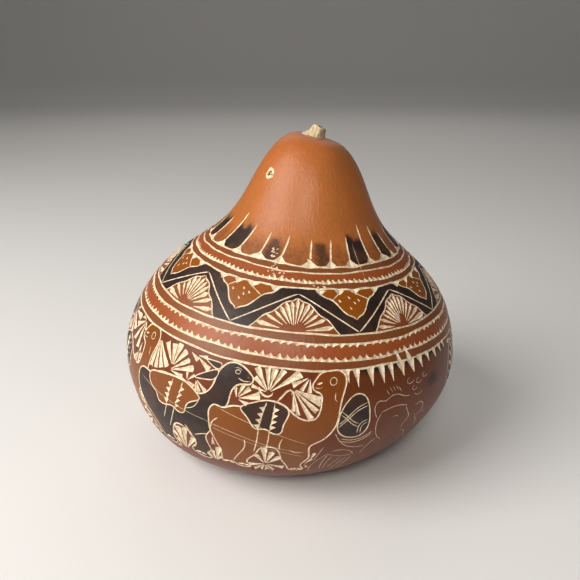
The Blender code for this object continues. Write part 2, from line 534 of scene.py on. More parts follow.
class Zigzag:
    """The burnt zigzag ribbon: its middle line and its two stepped edges."""

    def __init__(self):
        self.valleys = spread_round(FRONT_VALLEYS, BACK_VALLEYS)
        ends = self.valleys[1:] + [self.valleys[0] + GIRTH]
        self.peaks = [0.5 * (a + b) for a, b in zip(self.valleys, ends)]
        marks = [v - GIRTH for v in self.valleys] + self.valleys + [v + GIRTH for v in self.valleys]
        self.marks = np.array(sorted(marks))

    def share(self, x):
        """0 at a peak, 1 at a valley, and the half length there."""
        i = np.clip(np.searchsorted(self.marks, x) - 1, 0, len(self.marks) - 2)
        left, right = self.marks[i], self.marks[i + 1]
        half = 0.5 * (right - left)
        return np.abs(x - 0.5 * (left + right)) / half, half

    def middle(self, x):
        share, _ = self.share(x)
        return ZIGZAG_PEAK + (ZIGZAG_VALLEY - ZIGZAG_PEAK) * share ** 1.22

    def upper(self, x):
        share, _ = self.share(x)
        steps = 0.75 * np.sin(tau * 2.6 * share + 0.6)
        drop = np.clip((share - 0.33) / 0.67, 0.0, None) ** 1.05
        return RING_LEVELS[3] + ZIGZAG_UPPER_DROP * drop + steps * (share > 0.36) * (share < 0.97)

    def lower(self, x):
        share, _ = self.share(x)
        steps = 0.5 * np.sin(tau * 3.4 * share)
        return ZIGZAG_LOWER_TOP + ZIGZAG_LOWER_DROP * np.clip(share / 0.72, 0.0, 1.0) ** 1.35 + steps


def zigzag_band(drawing):
    """The zigzag ribbon, the half daisies under its peaks and the lobes over its valleys."""
    zigzag = Zigzag()
    top = ring_level(RING_LEVELS[3], 4.0)
    low = ring_level(RING_LEVELS[4], 5.0)
    band_area(drawing, top, low, "burnt_ribbon")
    # Each cut's level, where it starts and ends from valley to peak, its width, and how far
    # it stays above the ring line.
    cuts = ((zigzag.middle, 0.0, 1.0, 0.62, 0.2), (zigzag.upper, 0.0, 0.66, 0.7, 0.0),
            (zigzag.lower, 0.3, 1.0, 0.62, 0.0))
    for valley in zigzag.valleys:
        for side in (-1.0, 1.0):
            span = float(zigzag.share(valley + 0.01 * side)[1])
            for level, first, last, width, clear in cuts:
                reach = np.linspace(first * span, last * span, int((last - first) * span / LINE_STEP))
                x = valley + side * reach
                points = np.stack([x, np.clip(level(x), top(x), low(x) - clear)], 1)
                drawing.line(points, width, smooth=False, taper=0.4)
    for i, valley in enumerate(zigzag.valleys):
        lobes(drawing, zigzag, valley, top, i)
    for i, peak in enumerate(zigzag.peaks):
        half_daisy(drawing, zigzag, peak, low, i)


def half_daisy(drawing, zigzag, peak, low, turn):
    """Chip cuts that spread under a peak like half a daisy."""
    _, half = zigzag.share(np.array([peak]))
    span = float(0.70 * half[0])
    foot = float(low(peak))
    x = np.linspace(peak - span, peak + span, 33)
    edge = list(zip(x, np.minimum(zigzag.lower(x), low(x)) + 0.1))
    floor = [(peak + span, foot), (peak, foot + 0.1), (peak - span, foot)]
    drawing.area(edge + floor, "skin_brown", smooth=False)
    hub = np.array([peak - 0.6 + 0.8 * sin(2.0 * turn), foot - 0.4])
    petals = 12 + turn % 3
    reach = np.linspace(0.0, 26.0, 105)
    for i in range(petals):
        angle = pi * (i + 0.5) / petals
        direction = np.array([-cos(angle), -sin(angle)])
        line = hub + direction * reach[:, None]
        under = (line[:, 1] > zigzag.lower(line[:, 0]) + 0.25) & (line[:, 1] < low(line[:, 0]) - 0.3)
        stop = float(reach[np.cumprod(under).astype(bool)].max(initial=0.0))
        if stop < 5.0:
            continue
        gap = stop * (0.30 + 0.10 * sin(7.0 * i + turn))
        wide = 2.0 * stop * tan(0.5 * pi / petals) * (0.60 + 0.10 * sin(5.0 * i))
        drawing.wedge(hub + direction * gap, hub + direction * stop, 0.2, wide, blunt=0.2)


def lobes(drawing, zigzag, valley, top, turn):
    """Three amber lobes over a valley, with teardrops in the middle one."""
    _, half = zigzag.share(np.array([valley + 0.01]))
    span = float(0.64 * half[0])
    x = np.linspace(valley - span, valley + span, 31)
    edge = list(zip(x, np.maximum(zigzag.upper(x), top(x)) - 0.1))
    edge += [(place, float(top(place)) - 0.1) for place in x[::-6]]
    drawing.area(edge, "lobe", smooth=False)
    roof = float(top(valley))
    for line in (((-10.4, 4.2), (-7.2, 2.0), (-4.6, 0.5)), ((9.6, 4.8), (4.6, 2.6), (-0.6, 0.4))):
        drawing.line([(valley + dx, roof + ds) for dx, ds in line], 0.5)
    for dx, ds in ((-6.6, 4.6), (-1.2, 3.4), (3.0, 4.6), (-1.4, 7.6), (0.6, 5.6)):
        x = valley + dx + 0.5 * sin(3.0 * turn + dx)
        drawing.drop((x - 0.5, roof + ds - 0.6), (x + 0.5, roof + ds + 0.6), 0.75)
    for dx, wide in ((-16.4, 5.2), (-6.0, 4.6), (3.0, 4.8), (15.4, 5.6)):
        x = valley + dx
        drawing.wedge((x - 0.3, roof + 2.2), (x, roof + 0.1), 0.2, wide)


# ---------------------------------------------------------------- the frieze


# Where the frieze's dyed ground ends, and where the plain foot's colour starts.
FRIEZE_FOOT = 146.2
PLAIN_FOOT = 146.4


class Ground:
    """A fine grid over the frieze that knows which places are taken."""

    CELL = 0.25
    TOP = 99.6
    LOW = 145.6
    SWEEP = 0.9 * CELL

    def __init__(self, drawing):
        self.drawing = drawing
        self.columns = int(GIRTH / self.CELL)
        self.rows = int((self.LOW - self.TOP) / self.CELL)
        self.taken = np.zeros((self.columns, self.rows), dtype=bool)

    def cells(self, points):
        column = np.floor(points[:, 0] / GIRTH * self.columns).astype(int) % self.columns
        row = np.floor((points[:, 1] - self.TOP) / self.CELL).astype(int)
        return column, row

    def is_taken(self, points):
        column, row = self.cells(points)
        out = (row < 0) | (row >= self.rows)
        return out | self.taken[column, np.clip(row, 0, self.rows - 1)]

    def take(self, points):
        column, row = self.cells(points)
        good = (row >= 0) & (row < self.rows)
        self.taken[column[good], row[good]] = True

    def take_outline(self, flat, margin):
        """Mark the inside of an outline, and a margin round it."""
        outline = np.stack([flat[:, 0], self.drawing.skin.unevened(flat[:, 1])], 1)
        low, high = outline.min(0), outline.max(0)
        grid = [np.arange(low[i], high[i], self.SWEEP) for i in range(2)]
        places = np.stack(np.meshgrid(*grid), -1).reshape(-1, 2)
        self.take(places[inside(places, outline)])
        self.take_line(outline, np.full(len(outline), 2.0 * margin))

    def take_line(self, line, widths):
        """Mark a line and all that lies within half its width."""
        spots = np.linspace(0.0, 1.0, 6)[:, None]
        for i in range(len(line) - 1):
            middle = line[i] + (line[i + 1] - line[i]) * spots
            half = 0.5 * max(widths[i], widths[i + 1])
            around = np.arange(-half, half + 0.1, self.SWEEP)
            offsets = np.stack(np.meshgrid(around, around), -1).reshape(-1, 2)
            offsets = offsets[np.hypot(*offsets.T) <= half]
            self.take((middle[:, None, :] + offsets[None, :, :]).reshape(-1, 2))

    def free_way(self, start, direction, longest, spread):
        """How far a wedge that opens by a spread can run before it meets something."""
        reach = np.arange(0.3, longest, 0.3)
        side = np.array([-direction[1], direction[0]])
        blocked = np.zeros(len(reach), dtype=bool)
        for share in (-0.5, 0.0, 0.5):
            places = start + direction * reach[:, None] + side * (share * spread * reach)[:, None]
            blocked |= self.is_taken(places)
        return float(reach[blocked].min(initial=longest))


def fan(drawing, ground, hub, first, last, rays, longest):
    """Chip cuts that spread from a hub, between two directions, up to what is in their way."""
    hub = np.array(hub, dtype=float)
    step = (last - first) / max(rays - 1, 1)
    spread = min(2.0 * tan(0.5 * abs(step)), 0.5)
    cuts = []
    for i in range(rays):
        angle = first + step * i + drawing.random.uniform(-0.06, 0.06)
        direction = np.array([cos(angle), sin(angle)])
        reach = longest * drawing.random.uniform(0.85, 1.05)
        way = ground.free_way(hub, direction, reach, 0.36 * spread) + 0.1
        gap = 0.9 if way > 4.0 else 0.3
        if way - gap < 2.4:
            continue
        wide = min(0.68 * spread * way, 2.7) * drawing.random.uniform(0.85, 1.1)
        start, end = hub + direction * gap, hub + direction * way
        drawing.wedge(start, end, 0.2, wide)
        cuts.append((start, end, wide))
    for start, end, wide in cuts:
        line = start + (end - start) * np.linspace(0.0, 1.0, 7)[:, None]
        ground.take_line(line, np.linspace(0.5, wide + 0.7, 7))


def fill_ground(drawing, ground):
    """Fans wherever the ground is still bare, large ones first and then small ones."""
    for pitch, longest, rays, least in ((8.4, 11.0, 5, 27.0), (5.4, 8.0, 5, 17.0), (3.2, 5.4, 3, 8.4)):
        columns = int(GIRTH / pitch)
        for row in range(int((ground.LOW - ground.TOP) / pitch) + 1):
            for column in range(columns):
                aside = drawing.random.uniform(-0.3, 0.3) * pitch
                x = GIRTH * (column + 0.5 * (row % 2)) / columns + aside
                s = ground.TOP + 0.6 + pitch * (row + drawing.random.uniform(0.0, 0.4))
                x = (x - SEAM) % GIRTH + START
                near_seam = min(x - START, SEAM - x) < longest + 1.0
                plain = PLAIN_GROUND[0] < x < PLAIN_GROUND[1]
                if not near_seam and not plain and not ground.is_taken(np.array([[x, s]]))[0]:
                    widest_fan(drawing, ground, (x, s), longest, rays, least)


def widest_fan(drawing, ground, hub, longest, rays, least):
    """A fan where the ground round its hub is most open, if that is open enough."""
    ways, window = 24, 9
    turn = np.linspace(0.0, tau, ways, endpoint=False)
    free = [ground.free_way(np.array(hub), np.array([cos(a), sin(a)]), longest, 0.25) for a in turn]
    totals = [sum(free[(i + k) % ways] for k in range(window)) for i in range(ways)]
    best = int(np.argmax(totals))
    if totals[best] / window * rays >= least:
        fan(drawing, ground, hub, turn[best], turn[best] + (window - 1) * turn[1], rays, longest)


AMBER_LLAMA = (
    (-29.0, 118.0), (-27.4, 115.6), (-24.2, 115.9), (-21.0, 114.5), (-16.6, 113.8), (-12.0, 111.2),
    (-7.0, 110.3), (-2.6, 111.6), (1.0, 114.4), (5.0, 116.3), (8.3, 116.0), (9.8, 112.4),
    (9.9, 108.8), (9.2, 106.8), (7.0, 105.9), (5.9, 104.2), (6.9, 102.0), (8.4, 99.9), (12.0, 99.0),
    (15.8, 99.1), (18.0, 101.4), (17.8, 105.6), (16.8, 110.4), (16.4, 118.0), (14.8, 122.2), (12.0, 125.4),
    (9.2, 127.8), (9.6, 131.4), (10.2, 135.0), (8.8, 138.4), (8.8, 141.0), (10.6, 143.6),
    (4.8, 143.8), (3.0, 140.6), (0.6, 137.0), (-0.9, 133.0), (-2.6, 130.2), (-8.2, 130.6),
    (-9.8, 134.6), (-12.4, 138.6), (-12.6, 141.4), (-11.0, 143.8), (-17.2, 143.9), (-18.4, 142.4),
    (-22.6, 143.8), (-23.4, 139.4), (-24.6, 134.2), (-26.6, 129.8), (-28.2, 125.6), (-28.8, 121.6),
)
DARK_LLAMA = (
    (-68.2, 119.6), (-67.2, 116.4), (-64.2, 114.9), (-60.0, 114.8), (-54.4, 112.4), (-47.0, 111.2),
    (-39.8, 111.3), (-35.0, 113.6), (-31.6, 112.4), (-29.6, 109.6), (-28.8, 105.8), (-27.6, 102.4),
    (-24.6, 99.9), (-21.4, 99.8), (-18.6, 100.9), (-16.4, 102.4), (-15.0, 104.3), (-15.8, 105.8),
    (-18.4, 106.2), (-21.0, 107.4), (-22.2, 110.6), (-22.8, 115.0), (-26.0, 118.0), (-27.6, 122.6),
    (-27.8, 127.0), (-29.6, 130.4), (-29.0, 135.4), (-28.4, 139.6), (-30.2, 142.2), (-28.6, 144.0),
    (-36.6, 144.2), (-37.8, 142.0), (-35.2, 138.4), (-36.4, 134.6), (-38.6, 131.4), (-44.0, 130.8),
    (-46.4, 135.0), (-47.4, 140.0), (-47.0, 144.0), (-55.6, 144.2), (-57.0, 139.6), (-61.0, 134.0),
    (-65.4, 129.0), (-67.8, 124.0),
)
UPPER_EAR = ((-27.6, 101.6), (-30.6, 100.9), (-34.6, 101.2), (-31.6, 102.6), (-28.4, 103.2))
LOWER_EAR = ((-28.4, 103.8), (-32.4, 104.9), (-37.2, 108.4), (-32.8, 107.9), (-28.9, 106.4))
DARK_CLOTH = (
    (-17.6, 114.7), (-13.6, 111.8), (-9.0, 110.3), (-4.4, 110.9), (-0.8, 113.7), (-1.3, 116.6),
    (-2.0, 119.6), (-2.2, 122.1), (-5.2, 122.7), (-7.6, 121.2), (-10.8, 121.7), (-13.4, 119.4),
    (-15.4, 116.9),
)
AMBER_CLOTH = (
    (-59.8, 115.0), (-54.5, 112.7), (-47.5, 111.4), (-40.0, 111.5), (-35.8, 113.2), (-33.4, 115.4),
    (-36.6, 117.6), (-38.8, 120.4), (-39.6, 123.5), (-42.6, 124.1), (-45.0, 123.0), (-49.0, 124.0),
    (-53.2, 123.6), (-54.2, 121.2), (-57.6, 119.4),
)
BUNDLE = (
    (16.8, 117.4), (17.6, 112.8), (19.8, 109.2), (22.8, 107.4), (25.6, 108.2), (27.4, 111.0),
    (28.4, 115.2), (28.8, 120.0), (27.2, 123.5), (23.0, 124.3), (19.2, 122.7), (17.2, 120.2),
)
# The ground between these places is left bare.
PLAIN_GROUND = (12.5, 78.0)
# What is drawn on each llama: a line's width, and then its points.
AMBER_STROKES = (
    (0.4, (6.6, 104.6), (8.4, 105.0), (9.8, 104.6)),
    (0.45, (14.6, 106.4), (15.0, 109.4), (15.6, 109.8)),
    (0.6, (-14.6, 127.4), (-14.2, 131.0), (-16.2, 136.4), (-18.4, 141.6)),
    (0.6, (-1.2, 124.6), (-1.8, 127.4), (-1.4, 130.4)),
    (0.6, (-25.2, 120.4), (-27.2, 122.6), (-27.8, 125.8)),
    (0.4, (2.0, 130.0), (4.6, 131.6), (7.4, 131.0)),
)
DARK_STROKES = (
    (0.36, (-22.8, 101.5), (-21.2, 101.1), (-19.6, 101.9)),
    (0.42, (-20.8, 104.4), (-18.6, 105.2), (-15.8, 104.9)),
    (0.36, (-17.4, 103.5), (-16.4, 103.9)),
    (0.62, (-39.4, 129.2), (-36.8, 132.6), (-35.0, 137.6), (-36.6, 141.0)),
    (0.55, (-35.0, 132.6), (-32.0, 130.8), (-29.2, 129.6)),
    (0.55, (-44.0, 131.2), (-46.2, 134.4), (-47.2, 138.6)),
    (0.45, (-33.4, 115.6), (-35.2, 119.0), (-38.6, 121.0)),
)


def strokes(drawing, table, by):
    """A table of lines, each a width and then its points."""
    for width, *points in table:
        drawing.line(shifted(points, by), width)


def eye(drawing, x, s, across, down, width, by):
    """A ring for an eye, whose end laps its start."""
    ring = oval(x, s, across, down, np.linspace(0, 6.6, 12))
    drawing.line(shifted(ring, by), width, taper=0.2, step=0.6)


def cloth_band(drawing, top, foot, side, by, strap_end):
    """A cloth's edge line with its teeth, and the strap that goes on under the belly."""
    top, foot, strap_end = [np.array(p) + (by, 0.0) for p in (top, foot, strap_end)]
    drawing.line([tuple(top), tuple(0.5 * (top + foot) + (0.25 * side, 0.0)), tuple(foot)], 0.6)
    drawing.line([tuple(foot), tuple(0.5 * (foot + strap_end) + (0.3, 0.0)), tuple(strap_end)], 0.55)
    for share in (0.24, 0.46, 0.68, 0.90):
        at = top + (foot - top) * share
        drawing.wedge((at[0] + 1.9 * side, at[1] - 0.2), (at[0] + 0.1 * side, at[1] + 0.1), 0.15, 2.3)


def amber_llama(drawing, by, body, cloth):
    """A llama with its head up, and a cloth tied over its load."""
    outline = drawing.outlined(shifted(AMBER_LLAMA, by), body, 0.74)
    drawing.outlined(shifted(DARK_CLOTH, by), cloth, 0.66)
    cloth_band(drawing, (-8.9, 110.9), (-10.2, 121.4), -1.0, by, (-10.6, 133.4))
    cloth_band(drawing, (-6.1, 110.9), (-6.3, 121.2), 1.0, by, (-6.6, 133.4))
    eye(drawing, 13.4, 102.6, 1.25, 1.35, 0.42, by)
    drawing.wedge((9.4 + by, 103.0), (7.6 + by, 103.6), 0.3, 1.0, blunt=0.5)
    strokes(drawing, AMBER_STROKES, by)
    hooves(drawing, (-20.6, -14.2, 7.6), by)
    return outline


def dark_llama(drawing, by, body, cloth):
    """A llama that looks ahead, with its load under a cloth."""
    outline = drawing.outlined(shifted(DARK_LLAMA, by), body, 0.72)
    drawing.outlined(shifted(AMBER_CLOTH, by), cloth, 0.66)
    cloth_band(drawing, (-46.4, 111.9), (-48.2, 122.6), -1.0, by, (-51.0, 131.4))
    cloth_band(drawing, (-41.8, 111.9), (-44.2, 123.0), 1.0, by, (-48.2, 134.6))
    eye(drawing, -21.2, 102.5, 1.0, 0.7, 0.4, by)
    strokes(drawing, DARK_STROKES, by)
    hooves(drawing, (-51.6, -33.8), by)
    return outline


def hooves(drawing, places, by):
    """Pale hooves, two broad chips each."""
    for x in places:
        drawing.wedge((x + by - 2.4, 143.3), (x + by + 0.5, 142.9), 0.5, 1.7, blunt=0.3)
        drawing.wedge((x + by + 2.8, 143.6), (x + by + 0.6, 143.1), 0.3, 1.5, blunt=0.3)


def llama_pair(drawing, by, swap=False):
    """Two llamas in line. Swapped, the one behind is dark and the one ahead is amber."""
    first, second = ("amber", "burnt_grey") if swap else ("burnt_grey", "amber")
    ahead = dark_llama(drawing, by, first, "burnt" if swap else "amber")
    ears = [drawing.outlined(shifted(ear, by), first, 0.5) for ear in (UPPER_EAR, LOWER_EAR)]
    behind = amber_llama(drawing, by, second, "amber" if swap else "burnt")
    return [ahead, behind] + ears


def plant(drawing, ground, x):
    """A tall plant with paired leaves, on a burnt oval."""
    around = np.linspace(0.0, tau, 21)[:-1]
    edge = [(x + 7.6 * sin(a) * (1.0 + 0.12 * cos(a)), 122.6 - 20.6 * cos(a)) for a in around]
    outline = drawing.outlined(edge, "burnt", 0.72)
    drawing.line([(x, 140.0), (x + 0.5, 128.0), (x - 0.4, 116.0), (x, 106.2)], 0.8)
    for i in range(8):
        s = 136.4 - 3.9 * i
        size = 4.9 - 0.12 * (i - 3.0) ** 2
        for side in (-1.0, 1.0):
            drawing.drop((x + side * 0.5, s), (x + side * size, s - 3.4), 1.5)
    drawing.drop((x, 106.0), (x, 102.6), 1.4)
    ground.take_outline(outline, 0.55)


# The carrier's hat and cape, as a few plain strokes.
CARRIER_LINES = (
    ((16.8, 121.8), (19.4, 125.6), (22.6, 128.4), (26.4, 130.0), (31.0, 130.2)),
    ((31.8, 117.6), (30.6, 115.4), (30.3, 112.8), (31.8, 111.2), (34.2, 111.6), (36.8, 110.4),
     (40.4, 110.3), (43.4, 111.6), (46.4, 112.0)),
    ((33.4, 115.8), (32.2, 119.0), (32.8, 122.8), (34.8, 126.4), (37.4, 128.6)),
    ((33.2, 115.6), (37.4, 114.6), (41.6, 114.6), (45.4, 115.6)),
    ((44.6, 115.8), (46.4, 118.6), (47.6, 121.6), (46.2, 123.6), (46.4, 126.2)),
    ((38.6, 119.0), (40.4, 118.4), (41.8, 119.2)),
    ((46.8, 127.2), (50.6, 129.6), (52.6, 133.6)),
    ((34.6, 127.2), (32.4, 131.0), (31.6, 135.4)),
    ((49.8, 117.2), (53.0, 116.6), (55.4, 118.8), (54.4, 121.8), (51.2, 121.8)),
    ((52.0, 122.6), (54.6, 125.4), (55.6, 129.0)),
    ((48.2, 111.8), (50.8, 113.0), (53.4, 112.0)),
)
# Curls: middle and size.
CURLS = ((46.0, 106.6, 2.2), (50.8, 107.6, 2.0), (48.4, 109.8, 1.6), (54.6, 106.4, 1.8), (57.0, 121.6, 1.6))
CAPE_FOLDS = (
    ((17.0, 132.4), (14.4, 136.6), (13.0, 141.0), (13.4, 146.0)),
    ((17.4, 133.0), (16.8, 138.0), (17.8, 144.6)),
    ((16.8, 132.8), (20.0, 134.0), (24.4, 135.2), (28.0, 134.6)),
    ((18.0, 131.4), (22.0, 130.8), (26.0, 132.4), (28.6, 135.2)),
    ((19.6, 134.6), (18.8, 139.4), (19.6, 144.6)),
    ((23.4, 136.0), (21.8, 140.0), (21.4, 144.8)),
    ((26.0, 136.4), (24.4, 141.0), (23.6, 146.0)),
    ((28.2, 136.0), (27.6, 140.4), (26.4, 145.4)),
    ((14.4, 128.4), (13.6, 132.0), (12.8, 137.0)),
)
# Widths of the carrier's faint lines and of the net's cords.
FAINT = 0.36
NET = 0.42


def carrier_group(drawing, ground):
    """A load in a net, the carrier's hat and cape, and the folds of the cape."""
    ground.take_outline(drawing.outlined(BUNDLE, "burnt", 0.62), 0.55)
    for gap in (0.0, 1.2):
        drawing.line(shifted(((17.6, 113.4), (20.2, 115.4), (22.8, 117.6), (25.0, 118.6)), 0.0, gap), NET)
        drawing.line(shifted(((17.2, 119.6), (20.2, 116.6), (23.4, 113.6), (27.4, 112.0)), 0.0, -gap), NET)
        drawing.line(((25.2 + gap, 122.8), (24.9 + gap, 120.0), (26.0 + 0.6 * gap, 118.0 + 0.8 * gap),
                      (28.2, 117.4 + 0.8 * gap)), NET)
        drawing.line(shifted(((19.6, 124.6), (24.0, 125.8), (28.4, 125.0), (31.6, 122.8)), 0.0, gap), NET)
    for line in CARRIER_LINES:
        drawing.line(line, FAINT)
    for x, s in ((34.6, 107.6), (36.0, 106.8), (37.4, 106.6), (38.8, 106.6), (40.2, 107.4)):
        drawing.line([(x, s), (x + 1.5, s + 2.2)], FAINT, smooth=False)
    for x, s, size in CURLS:
        curl = [(x + size * cos(a) * (1 - 0.1 * a), s + 0.5 * size * sin(a)) for a in np.linspace(0, 5, 9)]
        drawing.line(curl, 0.34, step=0.9)
    for fold in CAPE_FOLDS:
        drawing.line(fold, FAINT)


# Long teeth under the ring line: place, tip and width.
HANGING_TEETH = (
    (18.6, 103.4, 2.2), (22.4, 105.2, 2.6), (28.2, 105.2, 3.2), (33.0, 105.0, 3.0), (37.2, 105.0, 2.8),
    (42.4, 104.2, 3.6), (47.8, 104.0, 3.8), (53.0, 103.6, 3.4), (58.0, 102.6, 2.8), (63.4, 102.8, 2.6),
    (68.4, 102.0, 2.4), (72.6, 101.6, 2.2),
)


def hanging_teeth(drawing):
    """Long pale teeth under the ring line at the right, with burnt ground between them."""
    for x, tip, wide in HANGING_TEETH:
        drawing.wedge((x + 0.7, tip), (x - 0.5, RING_LEVELS[7]), 0.2, wide)
    for x, top in ((42.0, 94.2), (47.2, 94.4)):
        drawing.wedge((x - 2.0, top), (x - 0.4, RING_LEVELS[7]), 0.2, 2.6)

    def shade(x, s):
        return 0.9 * ease((102.6 - s) / 3.2) * ease((x - 17.0) / 10.0) * ease((80.0 - x) / 10.0)

    def smudge(x, s):
        return 0.7 * ease(1.2 - np.hypot((x - 60.0) / 6.5, (s - 110.0) / 4.0))

    drawing.area(patch(17.0, 80.0, 99.0, 103.0), "burnt", smooth=False, fade=shade)
    drawing.area(oval(60.0, 110.0, 8.5, 5.2, np.linspace(0, tau, 15)[:-1]), "burnt", fade=smudge)


# Fans at the front: hub, the directions between which they spread, rays and reach.
FRONT_FANS = (
    ((-59.4, 101.4), 42, 112, 5, 12.5),
    ((-48.6, 108.4), -160, -58, 5, 9.5),
    ((-49.6, 109.8), -36, 2, 3, 11.5),
    ((-40.9, 103.2), 40, 120, 5, 9.5),
    ((-36.6, 108.8), 10, 80, 4, 7.5),
    ((-39.0, 101.0), -4, 30, 2, 8.0),
    ((-9.0, 107.6), -166, -38, 7, 13.0),
    ((-3.4, 104.6), -30, 2, 3, 11.5),
    ((-0.6, 105.6), 14, 84, 6, 14.0),
    ((0.0, 107.0), 104, 150, 3, 7.5),
    ((-14.9, 105.2), 34, 132, 6, 11.5),
    ((-5.3, 140.6), -128, -52, 4, 9.5),
    ((-5.2, 140.4), 14, 166, 6, 8.5),
    ((-62.6, 100.6), 96, 150, 4, 12.0),
    ((-41.6, 145.0), -118, -62, 4, 13.0),
    ((-26.2, 145.4), -128, -60, 4, 14.0),
    ((11.4, 136.4), -118, -82, 2, 9.5),
)
# Curled strokes among the front fans.
HOOKS = (
    ((-12.6, 106.0), (-11.6, 108.0), (-9.6, 109.0), (-8.0, 108.6), (-7.4, 107.4)),
    ((-5.4, 110.2), (-3.4, 107.4), (-1.8, 106.0), (-0.8, 106.2), (-1.0, 107.6)),
)
BACK_PAIRS = ((160.0, True), (265.0, False))
PLANTS = (83.0, 187.5)
LEFT_PAIR = -78.5


def frieze(drawing):
    """Llamas in procession round the widest part, with a carrier group between them."""
    top = ring_level(RING_LEVELS[7], 8.0)
    low = ring_level(FRIEZE_FOOT, 9.0)
    band_area(drawing, top, low, "frieze_ground")
    # A slightly darker dyed patch over the right of the frieze, round the carrier: partly its dye, and
    # partly painted shade for that side.
    drawing.area(patch(13.0, PLANTS[0], 99.4, 145.8), "cape", smooth=False)
    ground = Ground(drawing)
    bare = patch(*PLAIN_GROUND, 99.0, 146.0)
    ground.take_outline(drawing.flat(bare + bare[:1]), 0.2)
    figures = llama_pair(drawing, LEFT_PAIR)
    for by, swap in BACK_PAIRS:
        figures += llama_pair(drawing, by, swap)
    figures += llama_pair(drawing, 0.0)
    for outline in figures:
        ground.take_outline(outline, 0.42)
    for x in PLANTS:
        plant(drawing, ground, x)
    carrier_group(drawing, ground)
    for hub, first, last, rays, reach in FRONT_FANS:
        fan(drawing, ground, hub, radians(first), radians(last), rays, reach)
    for hook in HOOKS:
        drawing.line(hook, 0.95)
        ground.take_line(np.array(hook), np.full(len(hook), 1.3))
    fill_ground(drawing, ground)
    hanging_teeth(drawing)


def scratches(drawing):
    """Fine scratches across the burnt and dyed places."""
    for points, width in (
        (((-30.0, 123.4), (-20.0, 125.2), (-8.0, 128.4), (8.0, 131.6)), 0.3),
        (((-28.0, 125.2), (-16.0, 128.0), (-6.0, 130.4), (9.0, 134.0)), 0.26),
        (((-26.0, 116.4), (-14.0, 119.6), (-2.0, 123.4), (8.0, 127.0)), 0.28),
        (((-66.0, 118.4), (-52.0, 120.6), (-40.0, 122.2), (-29.0, 123.2)), 0.28),
        (((37.6, 51.0), (37.2, 58.0), (37.0, 66.0)), 0.3),
    ):
        drawing.line(points, width, taper=3.0)


def neck_mark(drawing):
    """The small chipped ring on the neck, with a dark middle."""
    x, s = -61.6, 28.4
    spread = WIDEST / 22.5
    around = np.linspace(0.0, tau, 13)
    wander = 1.0 + 0.14 * np.sin(3.0 * around + 1.0) + 0.10 * np.sin(5.0 * around)
    ring = np.stack([x + 1.75 * spread * wander * np.cos(around), s + 1.5 * wander * np.sin(around)], 1)
    drawing.line(ring, 1.35, taper=0.3, step=0.7)
    drawing.area(oval(x, s, 0.8 * spread, 0.75, around[:-1]), "mark_middle")
    drawing.drop((x + 0.5, s - 0.4), (x + 2.4, s + 0.2), 0.7)


# Where the finish is worn: middle, half size, and how many specks.
WORN_PLACES = (
    (-23.4, 56.4, 3.4, 1.9, 20), (-20.6, 62.6, 2.6, 2.4, 14), (-16.0, 65.4, 3.6, 1.4, 7),
    (2.0, 57.0, 1.6, 2.4, 5), (1.6, 67.4, 3.6, 1.6, 8), (9.0, 69.0, 3.2, 0.9, 5),
)


def worn_specks(drawing):
    """Pale specks where the finish has rubbed off at the foot of the petals and below them."""
    vary = drawing.random.uniform
    for x, s, half_x, half_s, count in WORN_PLACES:
        for _ in range(count):
            at_x, at_s = x + half_x * vary(-1.0, 1.0), s + half_s * vary(-1.0, 1.0)
            length = vary(0.3, 1.0)
            rise = vary(-0.5, 0.5)
            drawing.drop((at_x - length, at_s - rise), (at_x + length, at_s + rise), vary(0.4, 0.85))


def draw_pattern(skin, line_share):
    """The whole pattern, from the neck down."""
    drawing = Drawing(skin, line_share, seed=11)
    ring_bands(drawing)
    petal_panels(drawing)
    zigzag_band(drawing)
    frieze(drawing)
    scratches(drawing)
    neck_mark(drawing)
    worn_specks(drawing)
    return drawing


# ---------------------------------------------------------------- carving the skin


# The bare skin's points, and how clear of the cuts they stay.
GRID_STEP = 2.5
CLEAR_OF_CUTS = 0.75
# A narrower cut than this is less pale, down to the faintest.
BRIGHT_WIDTH = 0.42
FAINTEST = 0.3
# A cut's depth as a share of its width, and the deepest in millimetres.
DEPTH_SHARE = 0.34
DEEPEST = 0.55
# Points of the seam that are welded, and points anywhere that are one point, in metres.
WELD = 0.00001
SAME_PLACE = 0.0000002
# How often bad faces are cut out of the skin and the holes closed.
HEALING_ROUNDS = 3
# How far the unwrapped skin stays from the edge of its square.
UV_MARGIN = 0.006


